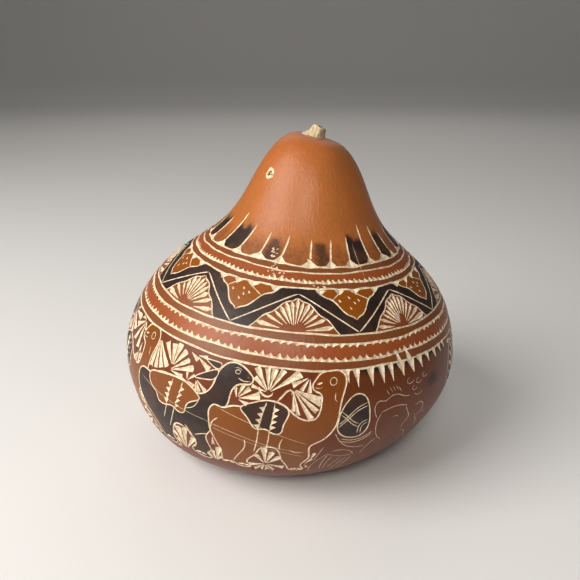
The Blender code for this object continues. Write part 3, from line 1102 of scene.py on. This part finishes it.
class Sheet:
    """The flat drawing as a net of points, edges and faces, ready to be triangulated."""

    def __init__(self, drawing):
        self.drawing = drawing
        self.points = []
        self.edges = []
        self.faces = []
        self.pale = []
        self.segments = []

    def add_points(self, points):
        start = len(self.points)
        self.points.extend(map(tuple, points))
        return start

    def shifts(self, line):
        """The shifts at which a shape shows in the one turn that the sheet covers."""
        low, high = line[:, 0].min(), line[:, 0].max()
        return [by for by in (-GIRTH, 0.0, GIRTH) if high + by > START - 2.0 and low + by < SEAM + 2.0]

    def add_cut(self, line, widths):
        """A strip of faces on each side of the cut's middle line."""
        scale = self.drawing.real_scale(line)
        pale = float(np.clip(widths.max() / BRIGHT_WIDTH, FAINTEST, 1.0))
        ahead = np.gradient(line, axis=0)
        ahead /= np.maximum(np.linalg.norm(ahead, axis=1, keepdims=True), 1e-9)
        side = np.stack([-ahead[:, 1], ahead[:, 0]], 1) * (0.5 * widths / scale)[:, None]
        for shift in self.shifts(line):
            moved = line + (shift, 0.0)
            rows = [self.add_points(moved + side * k) for k in (1.0, 0.0, -1.0)]
            for i in range(len(line) - 1):
                for a, b in ((rows[0], rows[1]), (rows[1], rows[2])):
                    self.add_face([a + i, a + i + 1, b + i + 1, b + i], pale)
            self.segments.append((moved, widths, scale))

    def add_face(self, corners, pale):
        """One four-sided face, or two triangles where the strip turns sharply."""
        points = [self.points[i] for i in corners]
        if turned(points[0], points[1], points[2]) * turned(points[0], points[2], points[3]) > 0.0:
            self.add_turned(corners, pale)
            return
        self.add_turned([corners[0], corners[1], corners[2]], pale)
        self.add_turned([corners[0], corners[2], corners[3]], pale)

    def add_turned(self, corners, pale):
        points = [self.points[i] for i in corners]
        area = sum(turned(points[0], points[i], points[i + 1]) for i in range(1, len(points) - 1))
        if abs(area) > 1e-7:
            self.faces.append(corners if area > 0.0 else corners[::-1])
            self.pale.append(pale)

    def add_outline(self, outline):
        for shift in self.shifts(outline):
            start = self.add_points(outline + (shift, 0.0))
            count = len(outline)
            self.edges.extend((start + i, start + (i + 1) % count) for i in range(count))

    def add_ground(self):
        """Evenly spaced points over the bare skin, and the border of one turn."""
        skin = self.drawing.skin
        rows = int(round((skin.bottom - DRAWING_TOP) / GRID_STEP))
        levels = np.linspace(DRAWING_TOP, skin.bottom, rows + 1)
        near = search_tree(self.points)
        border = [[], []]
        for row, s in enumerate(levels):
            t = float(skin.evened(s))
            scale = float(skin.radius_at(s)) / WIDEST
            count = max(int(round(GIRTH * scale / GRID_STEP)), 7)
            for side, x in enumerate((START, SEAM)):
                border[side].append(self.add_points([(x, t)]))
            for i in range(count):
                x = START + GIRTH * (i + 0.5 + 0.25 * (-1) ** row) / count
                edge_row = row in (0, rows)
                _, _, distance = near.find((x, t, 0.0))
                if edge_row or distance * scale > CLEAR_OF_CUTS:
                    self.add_points([(x, t)])
        for column in border:
            self.edges.extend(zip(column, column[1:]))

    def triangles(self):
        """Triangulate: points, triangles, and how pale each is as part of a cut (0 for none)."""
        result = delaunay_2d_cdt([Vector(p) for p in self.points], self.edges, self.faces, 0, 1e-4)
        points = np.array([tuple(p) for p in result[0]])
        faces = np.array([f for f in result[2]])
        cut = np.array([max((self.pale[i] for i in origin), default=0.0) for origin in result[5]])
        middle = points[faces].mean(1)
        keep = (middle[:, 0] > START) & (middle[:, 0] < SEAM)
        return points, faces[keep], cut[keep]

    def depths(self, points):
        """How deep each point lies in the deepest cut that holds it."""
        tree = search_tree(points)
        depth = np.zeros(len(points))
        for line, widths, scale in self.segments:
            halves = 0.5 * widths / scale
            for i in range(len(line) - 1):
                start, end = line[i], line[i + 1]
                reach = 0.5 * np.hypot(*(end - start)) + max(halves[i], halves[i + 1])
                middle = 0.5 * (start + end)
                found = [index for _, index, _ in tree.find_range((middle[0], middle[1], 0.0), reach)]
                if not found:
                    continue
                offset = points[found] - start
                along = end - start
                share = np.clip(offset @ along / max(along @ along, 1e-12), 0.0, 1.0)
                away = np.hypot(*(offset - share[:, None] * along).T)
                width = widths[i] + (widths[i + 1] - widths[i]) * share
                real = scale[i] + (scale[i + 1] - scale[i]) * share
                slope = 1.0 - away * real / np.maximum(0.5 * width, 1e-6)
                deep = np.minimum(DEPTH_SHARE * width, DEEPEST) * np.clip(slope, 0.0, 1.0)
                depth[found] = np.maximum(depth[found], deep)
        return depth


def search_tree(points):
    """A tree that finds the flat drawing's points near a place."""
    tree = kdtree.KDTree(max(len(points), 1))
    for i, (x, t) in enumerate(points):
        tree.insert((x, t, 0.0), i)
    tree.balance()
    return tree


def turned(a, b, c):
    """Twice the area of a triangle, above zero where it turns anticlockwise."""
    return (b[0] - a[0]) * (c[1] - a[1]) - (b[1] - a[1]) * (c[0] - a[0])


# How each dyed area looks: its dye's place in the colours, and how much of it is burnt.
DYES = {
    "skin": ("skin", 0.0),
    "strip": ("strip", 0.0),
    "band": ("band", 0.0),
    "skin_brown": ("brown", 0.0),
    "lobe": ("lobe", 0.0),
    "amber": ("amber", 0.0),
    "frieze_ground": ("ground", 0.0),
    "mark_middle": ("mark", 0.0),
    "burnt": ("brown", 1.0),
    "burnt_ribbon": ("brown", 0.9),
    "burnt_grey": ("brown", 0.86),
    "cape": ("cape", 0.0),
}


def face_dyes(drawing, points, faces, colours):
    """Each triangle's dye, and how burnt each of its corners is."""
    skin = drawing.skin
    middle = points[faces].mean(1)
    middle_s = skin.unevened(middle[:, 1])
    dye = np.tile(np.array(colours["skin"]), (len(faces), 1))
    burnt = np.zeros((len(faces), 3))
    corner_x = points[faces][:, :, 0]
    corner_s = skin.unevened(points[faces][:, :, 1])
    dye[middle_s > PLAIN_FOOT] = colours["foot"]
    for outline, name, fade in drawing.areas:
        colour, burn = DYES[name]
        for shift in (-GIRTH, 0.0, GIRTH):
            if isinstance(outline, tuple):
                if shift:
                    continue
                top, low = outline
                held = (middle_s > top(middle[:, 0])) & (middle_s < low(middle[:, 0]))
            else:
                moved = outline + (shift, 0.0)
                near = (middle[:, 0] > moved[:, 0].min()) & (middle[:, 0] < moved[:, 0].max())
                near &= (middle[:, 1] > moved[:, 1].min()) & (middle[:, 1] < moved[:, 1].max())
                held = np.zeros(len(faces), dtype=bool)
                held[near] = inside(middle[near], moved)
            if not held.any():
                continue
            if fade is None:
                dye[held] = colours[colour]
                burnt[held] = burn
            else:
                strength = fade(corner_x[held] - shift, corner_s[held])
                burnt[held] = np.maximum(burnt[held], burn * strength)
    return dye, burnt


def carve_skin(drawing, colours):
    """Triangulate the drawing, lay it on the gourd and cut it in."""
    sheet = Sheet(drawing)
    for line, widths in drawing.cuts:
        sheet.add_cut(line, widths)
    for outline, _, _ in drawing.areas:
        if not isinstance(outline, tuple):
            sheet.add_outline(outline)
    sheet.add_ground()
    points, faces, cut = sheet.triangles()
    skin = drawing.skin
    depth = sheet.depths(points)
    s = skin.unevened(points[:, 1])
    places = skin.place(points[:, 0], s, depth)
    normals = skin.normals(points[:, 0], s)
    dye, burnt = face_dyes(drawing, points, faces, colours)
    mesh = bpy.data.meshes.new("gourd_skin")
    mesh.from_pydata(places.tolist(), [], faces[:, ::-1].tolist())
    corners = faces[:, ::-1]
    flat_normals = face_normals(places, corners)
    in_cut = cut > 0.0
    corner_normals = np.where(in_cut[:, None, None], flat_normals[:, None, :], normals[corners])
    layer = mesh.attributes.new("skin_normal", "FLOAT_VECTOR", "CORNER")
    layer.data.foreach_set("vector", corner_normals.astype(np.float32).ravel())
    colour = np.ones((len(faces), 3, 4), dtype=np.float32)
    colour[:, :, :3] = dye[:, None, :]
    layer = mesh.attributes.new("dye", "FLOAT_COLOR", "CORNER")
    layer.data.foreach_set("color", colour.ravel())
    for name, values in (("burnt", burnt[:, ::-1]), ("cut", np.repeat(cut[:, None], 3, 1))):
        layer = mesh.attributes.new(name, "FLOAT", "CORNER")
        layer.data.foreach_set("value", values.astype(np.float32).ravel())
    layer = mesh.uv_layers.new(name="OFBake")
    half = 0.5
    u = (points[corners][:, :, 0] - START) / GIRTH
    v = half - UV_MARGIN - s[corners] / GIRTH + half * (~in_cut)[:, None]
    layer.uv.foreach_set("vector", np.stack([u, v], -1).astype(np.float32).ravel())
    on_seam = np.abs(np.abs(points[:, 0] - SEAM + 0.5 * GIRTH) - 0.5 * GIRTH) < 0.001
    return close_skin(mesh, np.flatnonzero(on_seam))


def face_normals(places, corners):
    a, b, c = [places[corners[:, i]] for i in range(3)]
    normal = np.cross(b - a, c - a)
    return normal / np.maximum(np.linalg.norm(normal, axis=1, keepdims=True), 1e-15)


def close_skin(mesh, on_seam):
    """Weld the seam and close the crown and the pole of the underside."""
    bm = bmesh.new()
    bm.from_mesh(mesh)
    bm.verts.ensure_lookup_table()
    bmesh.ops.remove_doubles(bm, verts=[bm.verts[i] for i in on_seam], dist=WELD)
    bmesh.ops.remove_doubles(bm, verts=bm.verts, dist=SAME_PLACE)
    loose = [v for v in bm.verts if not v.link_faces]
    bmesh.ops.delete(bm, geom=loose, context="VERTS")
    for _ in range(HEALING_ROUNDS):
        crowded = [e for e in bm.edges if len(e.link_faces) > 2]
        slivers = {min(e.link_faces, key=lambda face: face.calc_area()) for e in crowded}
        bmesh.ops.delete(bm, geom=list(slivers), context="FACES")
        rim = [e for e in bm.edges if e.is_boundary]
        bmesh.ops.holes_fill(bm, edges=rim, sides=0)
        bmesh.ops.triangulate(bm, faces=[f for f in bm.faces if len(f.verts) > 3])
    bm.normal_update()
    normal = bm.loops.layers.float_vector["skin_normal"]
    dye = bm.loops.layers.float_color["dye"]
    uv = bm.loops.layers.uv["OFBake"]
    for face in bm.faces:
        for loop in face.loops:
            if Vector(loop[normal]).length < 0.5:
                near = next(l for l in loop.vert.link_loops if Vector(l[normal]).length > 0.5)
                loop[normal] = face.normal
                loop[dye] = near[dye]
                loop[uv].uv = near[uv].uv
    bm.to_mesh(mesh)
    bm.free()
    found = np.empty(len(mesh.loops) * 3, dtype=np.float32)
    mesh.attributes["skin_normal"].data.foreach_get("vector", found)
    mesh.attributes.remove(mesh.attributes["skin_normal"])
    mesh.shade_smooth()
    mesh.normals_split_custom_set(found.reshape(-1, 3))
    return mesh


# ---------------------------------------------------------------- materials


class Value:
    """A socket whose arithmetic adds Math nodes."""

    def __init__(self, graph, socket):
        self.graph = graph
        self.socket = socket

    def math(self, operation, *others):
        return self.graph.node("ShaderNodeMath", {"operation": operation}, (self,) + others)

    def __add__(self, other):
        return self.math("ADD", other)

    def __mul__(self, other):
        return self.math("MULTIPLY", other)

    def __sub__(self, other):
        return self.math("SUBTRACT", other)

    def __rsub__(self, other):
        return self.graph.node("ShaderNodeMath", {"operation": "SUBTRACT"}, (other, self))

    __radd__ = __add__
    __rmul__ = __mul__


class Graph:
    """A material's nodes, ending in one Principled shader."""

    def __init__(self, name, **uniform):
        self.material = bpy.data.materials.new(name)
        self.material.use_nodes = True
        self.nodes = self.material.node_tree.nodes
        self.shader = self.nodes["Principled BSDF"]
        for socket, value in uniform.items():
            self.shader.inputs[socket.replace("_", " ")].default_value = value

    def node(self, kind, settings, inputs, output=0):
        """Add a node: its settings first, then its sockets' values or links."""
        node = self.nodes.new(kind)
        for key, value in settings.items():
            setattr(node, key, value)
        pairs = inputs.items() if isinstance(inputs, dict) else enumerate(inputs)
        for key, value in pairs:
            self.feed(node.inputs[key], value)
        return Value(self, node.outputs[output])

    def feed(self, socket, value):
        if isinstance(value, Value):
            self.material.node_tree.links.new(value.socket, socket)
        elif value is not None:
            socket.default_value = value

    def attribute(self, name, colour=False):
        return self.node("ShaderNodeAttribute", {"attribute_name": name}, {}, "Color" if colour else "Fac")

    def place(self, scale=(1.0, 1.0, 1.0)):
        """Object coordinates, stretched along each axis."""
        place = self.node("ShaderNodeTexCoord", {}, {}, "Object")
        return self.node("ShaderNodeMapping", {}, {"Vector": place, "Scale": scale})

    def noise(self, vector, scale, detail, roughness):
        sockets = {"Vector": vector, "Scale": scale, "Detail": detail, "Roughness": roughness}
        return self.node("ShaderNodeTexNoise", {}, sockets, "Fac")

    def step(self, value, low, high):
        """0 below low, 1 above high, smooth between."""
        settings = {"interpolation_type": "SMOOTHSTEP"}
        return self.node("ShaderNodeMapRange", settings, {"Value": value, "From Min": low, "From Max": high})

    def patches(self, scale, detail, roughness, low, high):
        """Soft patches of 0 and 1."""
        return self.step(self.noise(self.place(), scale, detail, roughness), low, high)

    def mix(self, share, first, second, blend="MIX"):
        """Mix two colours."""
        settings = {"data_type": "RGBA", "blend_type": blend}
        return self.node("ShaderNodeMix", settings, {0: share, 6: first, 7: second}, 2)

    def bump(self, height, strength, distance):
        sockets = {"Height": height, "Strength": strength, "Distance": distance}
        return self.node("ShaderNodeBump", {}, sockets, "Normal")

    def wear(self, **links):
        for socket, value in links.items():
            self.feed(self.shader.inputs[socket.replace("_", " ")], value)
        return self.material


def linear(colour):
    """A screen colour out of 255 as linear light."""
    shares = np.array(colour[:3]) / 255.0
    low = shares / 12.92
    high = ((shares + 0.055) / 1.055) ** 2.4
    return tuple(np.where(shares <= 0.04045, low, high))


def rgba(colour):
    return (*colour[:3], 1.0)


def skin_material(colours):
    """Varnished skin: dyed, burnt and cut places told apart by the mesh's own attributes."""
    graph = Graph("varnished_gourd_skin", Specular_IOR_Level=0.38)
    dye = graph.attribute("dye", colour=True)
    burnt = graph.attribute("burnt")
    cut = graph.attribute("cut")
    mottle = graph.noise(graph.place(), 38.0, 4.0, 0.6)
    cloud = graph.noise(graph.place(), 14.0, 2.0, 0.5)
    streak = graph.noise(graph.place((1.0, 1.0, 0.16)), 260.0, 3.0, 0.6)
    fibre = graph.noise(graph.place((1.0, 1.0, 0.12)), 950.0, 3.0, 0.6)
    speck = graph.noise(graph.place(), 900.0, 2.0, 0.6)
    shade = 0.43 + 0.34 * mottle + 0.30 * cloud + 0.22 * streak + 0.28 * fibre
    shaded = graph.node("ShaderNodeVectorMath", {"operation": "SCALE"}, {"Vector": dye, "Scale": shade})
    tint = graph.step(cloud, 0.35, 0.7)
    warm = graph.mix(tint * 0.35, shaded, rgba(colours["warm"]), "OVERLAY")
    fleck = graph.step(speck, 0.60, 0.70)
    flecked = graph.mix(fleck * 0.16, warm, rgba(colours["fleck"]))
    scorch_noise = graph.noise(graph.place(), 420.0, 4.0, 0.7)
    scorch = graph.step(burnt + 0.7 * (scorch_noise - 0.5) * (1.0 - burnt * 0.6), 0.12, 0.84)
    char = graph.mix(graph.patches(120.0, 3.0, 0.6, 0.4, 0.75) * 0.6, rgba(colours["char"]),
                     rgba(colours["soot"]))
    rubbed = graph.patches(95.0, 4.0, 0.65, 0.42, 0.66)
    burnt_skin = graph.mix(scorch * (0.97 - 0.12 * rubbed), flecked, char)
    pith = graph.mix(graph.patches(700.0, 3.0, 0.65, 0.35, 0.72), rgba(colours["pith"]),
                     rgba(colours["pith_dusty"]))
    colour = graph.mix(cut, burnt_skin, pith)
    skin_rough = 0.30 + 0.14 * mottle + 0.10 * scorch
    rough = skin_rough * (1.0 - cut) + 0.78 * cut
    grain = graph.noise(graph.place(), 1500.0, 2.0, 0.6)
    bumps = graph.bump(fibre * 1.5 + speck * 0.3 + grain * 0.2, 0.5, 0.0002)
    return graph.wear(Base_Color=colour, Roughness=rough, Normal=bumps)


def stem_material(colours):
    """Dry stalk: pale fibres with brown between them, a darker broken end, and painted shade that darkens
    the side towards +X upwards.
    """
    graph = Graph("dry_stalk", IOR=1.45)
    fibre = graph.noise(graph.place((1.0, 1.0, 0.12)), 900.0, 4.0, 0.65)
    cloud = graph.noise(graph.place(), 260.0, 3.0, 0.6)
    end = graph.attribute("broken_end")
    stalk = graph.mix(graph.step(fibre, 0.24, 0.60), rgba(colours["stem_dark"]), rgba(colours["stem"]))
    stalk = graph.mix(graph.step(cloud, 0.5, 0.75) * 0.25, stalk, rgba(colours["stem_dark"]))
    # The broken end's colour, which also paints shade up the stalk's side towards +X.
    colour = graph.mix(end * 0.85, stalk, rgba(colours["stem_end"]))
    bumps = graph.bump(fibre + 0.5 * cloud, 0.6, 0.0004)
    return graph.wear(Base_Color=colour, Roughness=0.66 + 0.2 * fibre, Normal=bumps)


def floor_material(colour):
    graph = Graph("pale_floor", Roughness=0.62)
    scuffed = (0.62, 0.61, 0.60, 1.0)
    cloud = graph.noise(graph.place(), 3.0, 2.0, 0.5)
    tone = graph.mix(cloud * 0.12, rgba(colour), scuffed)
    return graph.wear(Base_Color=tone)


# ---------------------------------------------------------------- the add-on


def colour_property(name, description, screen):
    return bpy.props.FloatVectorProperty(name=name, description=description, subtype="COLOR",
                                         size=3, min=0.0, max=1.0, default=linear(screen))


class GourdColours(bpy.types.PropertyGroup):
    """Dyes and burns."""

    skin: colour_property("Skin", "Varnished bare skin", (180, 105, 48))
    strip: colour_property("Strips", "Narrow strips between ring lines", (132, 74, 34))
    band: colour_property("Bands", "Wide bands between ring lines", (156, 80, 34))
    brown: colour_property("Brown", "Stained skin between cuts", (138, 74, 36))
    lobe: colour_property("Lobes", "Dyed lobes over the valleys", (146, 78, 4))
    amber: colour_property("Amber", "Dyed figures", (128, 68, 0))
    ground: colour_property("Frieze ground", "Skin round the figures", (112, 50, 14))
    # Its darkness over the right of the frieze is partly painted shade.
    cape: colour_property("Cape", "Dyed ground round the carrier", (104, 48, 0))
    foot: colour_property("Foot", "Plain skin below the frieze", (108, 50, 0))
    mark: colour_property("Mark", "Middle of the mark on the neck", (74, 66, 38))
    warm: colour_property("Warm tint", "Slow change of tint over the skin", (150, 100, 52))
    fleck: colour_property("Flecks", "Fine dark flecks", (86, 48, 26))
    char: colour_property("Char", "Deepest burnt places", (25, 18, 15))
    soot: colour_property("Soot", "Greyer burnt places", (56, 41, 34))
    pith: colour_property("Pith", "Freshly cut shell", (246, 230, 200))
    pith_dusty: colour_property("Dusty pith", "Cuts that have taken up dirt", (206, 176, 138))
    stem: colour_property("Stem", "Dry stalk", (228, 204, 166))
    stem_dark: colour_property("Stem shade", "Between the stalk's fibres", (146, 122, 76))
    # Painted shade on the stalk's +X side, and the colour of its broken end.
    stem_end: colour_property("Stem end", "Shaded side and broken end of the stalk", (96, 82, 46))
    floor: colour_property("Floor", "Pale floor", (240, 238, 234))


class GourdSizes(bpy.types.PropertyGroup):
    """Sizes that a carver would change."""

    line_share: bpy.props.FloatProperty(
        name="Line width", description="Share of the drawn width of every line",
        default=0.74, min=0.5, max=2.0, subtype="FACTOR")
    lump_size: bpy.props.FloatProperty(
        name="Lumps", description="Height of the skin's wide bumps, in millimetres",
        default=0.35, min=0.0, max=2.0)
    stem_ribs: bpy.props.IntProperty(
        name="Stem ribs", description="Ribs round the stalk", default=8, min=5, max=12)


def palette():
    """The colours as plain tuples by name."""
    group = bpy.context.scene.gourd_colours
    return {name: tuple(getattr(group, name)) for name in GourdColours.__annotations__}


def finish_piece(piece, node):
    """Make a piece ride with the gourd and stand for a node of the frame."""
    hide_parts(node)
    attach(piece, "root")


class GOURD_OT_skin(bpy.types.Operator):
    """Carve the pattern into the gourd's skin"""

    bl_idname = "gourd.skin"
    bl_label = "Carved skin"

    def execute(self, context):
        sizes = context.scene.gourd_sizes
        skin = Skin(sizes.lump_size)
        mesh = carve_skin(draw_pattern(skin, sizes.line_share), palette())
        mesh.materials.append(skin_material(palette()))
        piece = bpy.data.objects.new("carved_gourd_skin", mesh)
        context.scene.collection.objects.link(piece)
        finish_piece(piece, "gourd_body")
        return {"FINISHED"}


class GOURD_OT_stem(bpy.types.Operator):
    """Shape the stub of the stem"""

    bl_idname = "gourd.stem"
    bl_label = "Stem stub"

    def execute(self, context):
        ribs = context.scene.gourd_sizes.stem_ribs
        bpy.ops.object.select_all(action="DESELECT")
        bpy.ops.mesh.primitive_cylinder_add(vertices=ribs * POINTS_PER_RIB, radius=1.0, depth=1.0,
                                            end_fill_type="NGON")
        piece = context.object
        piece.name = "stem_stub"
        bpy.ops.object.mode_set(mode="EDIT")
        for i in range(1, STEM_RINGS):
            bpy.ops.mesh.select_all(action="SELECT")
            bpy.ops.mesh.bisect(plane_co=(0.0, 0.0, i / STEM_RINGS - 0.5), plane_no=(0.0, 0.0, 1.0))
        bpy.ops.object.mode_set(mode="OBJECT")
        bm = bmesh.new()
        bm.from_mesh(piece.data)
        top = [f for f in bm.faces if f.normal.z > 0.9]
        for inset in END_INSETS:
            bmesh.ops.inset_region(bm, faces=top, thickness=inset, use_even_offset=True)
        shape_stem(bm, ribs)
        bm.to_mesh(piece.data)
        bm.free()
        piece.data.materials.append(stem_material(palette()))
        bpy.ops.object.select_all(action="DESELECT")
        piece.select_set(True)
        context.view_layer.objects.active = piece
        bpy.ops.object.shade_smooth_by_angle(angle=radians(50.0))
        finish_piece(piece, "stem")
        return {"FINISHED"}


def shape_stem(bm, ribs):
    """Taper, rib, flare and lean the stalk, break its top off at a slant, and stand it up."""
    # A layer that darkens the broken end, and paints shade up the side towards +X.
    end = bm.verts.layers.float.new("broken_end")
    middle = np.zeros(1)
    crown = Vector(Skin(0.0).solid_place(middle, middle, 0.0)[0])
    foot = Matrix.Translation(Vector((STEM_ASIDE, STEM_BACK, -STEM_SUNK)) * MM)
    place = Matrix.Translation(crown) @ Matrix.Rotation(CROWN_TILT, 4, "Y") @ foot
    for vert in bm.verts:
        share = vert.co.z + 0.5
        angle = atan2(vert.co.y, vert.co.x)
        within = hypot(vert.co.x, vert.co.y)
        low = (1.0 - share) ** 1.8
        twist = 0.5 * share + 0.12 * sin(7.0 * share)
        rib = 1.0 - STEM_RIB_DEPTH * (0.5 + 0.5 * cos(ribs * (angle + twist))) * (0.4 + 0.6 * share)
        rough = 1.0 + 0.02 * sin(13 * angle + 6.0 * share) + 0.02 * sin(29 * angle + 11.0 * share)
        shoulder = max(share - STEM_SHOULDER, 0.0) / (1.0 - STEM_SHOULDER)
        rough -= STEM_ROUNDING * shoulder ** 2
        flare = 1.0 + STEM_FLARE * low ** 2 * max(0.0, -cos(angle)) + 0.07 * low ** 3
        radius = STEM_NECK_RADIUS + (STEM_FOOT_RADIUS - STEM_NECK_RADIUS) * low
        size = radius * rib * rough * flare * within
        x, y = size * cos(angle), size * sin(angle)
        z = share * (STEM_HEIGHT - STEM_CUT_SLOPE * x)
        # The broken top darkens; lower down, the side towards +X darkens upwards, which is painted shade.
        if share > 0.999:
            ragged = 0.10 * sin(5 * angle + 1.0) + 0.08 * sin(11 * angle)
            z += ragged * within - STEM_HOLLOW * max(1.0 - within, 0.0) ** 0.7
            vert[end] = 1.0 if within < 0.97 else 0.45
        else:
            vert[end] = 0.9 * float(ease((cos(angle) - 0.1) / 0.5)) * share ** 0.5
        vert.co = place @ (Vector((x + STEM_LEAN_PER_HEIGHT * z, y, z)) * MM)


# How strongly the room lights the gourd, and how bright it looks behind the floor.
ROOM_LIGHT = 0.125
ROOM_SEEN = 0.72
# Each light: name, place, size and power, in metres and watts, and colour.
LIGHTS = (
    ("window", (-0.62, -0.34, 0.58), 0.66, 8.5, (1.0, 0.97, 0.95)),
    ("fill", (0.75, -0.65, 0.35), 0.9, 0.15, (1.0, 0.95, 0.90)),
    ("lamp", (-0.04, -0.72, 0.62), 0.2, 2.3, (1.0, 0.97, 0.94)),
    ("back", (0.0, 1.1, 1.05), 1.3, 3.0, (1.0, 0.98, 0.96)),
)
LIGHTS_AIM = (0.0, 0.0, 0.06)


class GOURD_OT_stage(bpy.types.Operator):
    """Add the floor, the lights and the camera"""

    bl_idname = "gourd.stage"
    bl_label = "Stage"

    def execute(self, context):
        bpy.ops.object.select_all(action="DESELECT")
        bpy.ops.mesh.primitive_grid_add(x_subdivisions=2, y_subdivisions=24, size=1.0)
        floor = context.object
        floor.name = "floor"
        sweep_backdrop(floor)
        floor.data.materials.append(floor_material(palette()["floor"]))
        for light in LIGHTS:
            add_light(*light)
        world = bpy.data.worlds.new("room")
        world.use_nodes = True
        nodes, links = world.node_tree.nodes, world.node_tree.links
        background = nodes["Background"]
        background.inputs["Color"].default_value = (0.95, 0.93, 0.92, 1.0)
        seen = nodes.new("ShaderNodeLightPath")
        strength = nodes.new("ShaderNodeMapRange")
        strength.inputs["To Min"].default_value = ROOM_LIGHT
        strength.inputs["To Max"].default_value = ROOM_SEEN
        links.new(seen.outputs["Is Camera Ray"], strength.inputs["Value"])
        links.new(strength.outputs["Result"], background.inputs["Strength"])
        context.scene.world = world
        context.scene.view_settings.view_transform = "Standard"
        add_camera(context)
        return {"FINISHED"}


def sweep_backdrop(floor):
    """Stretch the grid into a floor that curves up far behind the gourd."""
    front, bend_start, bend_radius = 1.4, 1.6, 1.2
    width, length = 8.0, 5.0
    for vert in floor.data.vertices:
        along = (vert.co.y + 0.5) * length
        vert.co.x *= width
        if along < bend_start + front:
            vert.co.y = along - front
            vert.co.z = 0.0
            continue
        angle = min((along - bend_start - front) / bend_radius, pi / 2.0)
        rest = max(along - bend_start - front - bend_radius * pi / 2.0, 0.0)
        vert.co.y = bend_start + bend_radius * sin(angle)
        vert.co.z = bend_radius * (1.0 - cos(angle)) + rest
    floor.data.shade_smooth()


def add_light(name, place, size, power, colour):
    """A square soft light that faces the gourd."""
    light = bpy.data.lights.new(name, "AREA")
    light.size = size
    light.energy = power
    light.color = colour
    holder = bpy.data.objects.new(name, light)
    holder.location = place
    holder.rotation_euler = (Vector(LIGHTS_AIM) - Vector(place)).to_track_quat("-Z", "Y").to_euler()
    bpy.context.scene.collection.objects.link(holder)


# The view, in millimetres and angles: the place that the camera stands off from, how high and
# how far it stands, and how far it is then turned up and left.
VIEW_TARGET = (7.75, 0.0, 45.0)
VIEW_ELEVATION = radians(23.32)
VIEW_DISTANCE = 277.7
VIEW_LENS = 39.28
VIEW_SENSOR = 36.0
VIEW_TURN_UP = radians(2.52)
VIEW_TURN_LEFT = radians(0.17)


def add_camera(context):
    """The camera, which looks down a little."""
    camera = bpy.data.cameras.new("camera")
    camera.sensor_width = VIEW_SENSOR
    camera.lens = VIEW_LENS
    camera.clip_start = 0.01
    holder = bpy.data.objects.new("camera", camera)
    target = (Vector(VIEW_TARGET) + Vector(Skin(0.0).move)) * MM
    away = Vector((0.0, -cos(VIEW_ELEVATION), sin(VIEW_ELEVATION)))
    holder.location = target + away * VIEW_DISTANCE * MM
    look = Matrix.Rotation(pi / 2.0 - VIEW_ELEVATION, 3, "X")
    turned_up = Matrix.Rotation(VIEW_TURN_UP, 3, "X")
    turned_left = Matrix.Rotation(VIEW_TURN_LEFT, 3, "Y")
    holder.rotation_euler = (look @ turned_up @ turned_left).to_euler()
    context.scene.collection.objects.link(holder)
    context.scene.camera = holder


class GOURD_PT_panel(bpy.types.Panel):
    """Lists the gourd's pieces, sizes and colours"""

    bl_label = "Carved Bottle Gourd"
    bl_idname = "GOURD_PT_panel"
    bl_space_type = "VIEW_3D"
    bl_region_type = "UI"
    bl_category = "Gourd"

    def draw(self, context):
        for operator in OPERATORS:
            self.layout.operator(operator.bl_idname)
        for group in (context.scene.gourd_sizes, context.scene.gourd_colours):
            for name in type(group).__annotations__:
                self.layout.prop(group, name)


OPERATORS = (GOURD_OT_stage, GOURD_OT_skin, GOURD_OT_stem)
CLASSES = (GourdColours, GourdSizes) + OPERATORS + (GOURD_PT_panel,)


def register():
    for item in CLASSES:
        bpy.utils.register_class(item)
    bpy.types.Scene.gourd_colours = bpy.props.PointerProperty(type=GourdColours)
    bpy.types.Scene.gourd_sizes = bpy.props.PointerProperty(type=GourdSizes)


def unregister():
    del bpy.types.Scene.gourd_sizes
    del bpy.types.Scene.gourd_colours
    for item in reversed(CLASSES):
        bpy.utils.unregister_class(item)


def main():
    register()
    bpy.ops.gourd.stage()
    bpy.ops.gourd.skin()
    bpy.ops.gourd.stem()


if __name__ == "__main__":
    main()
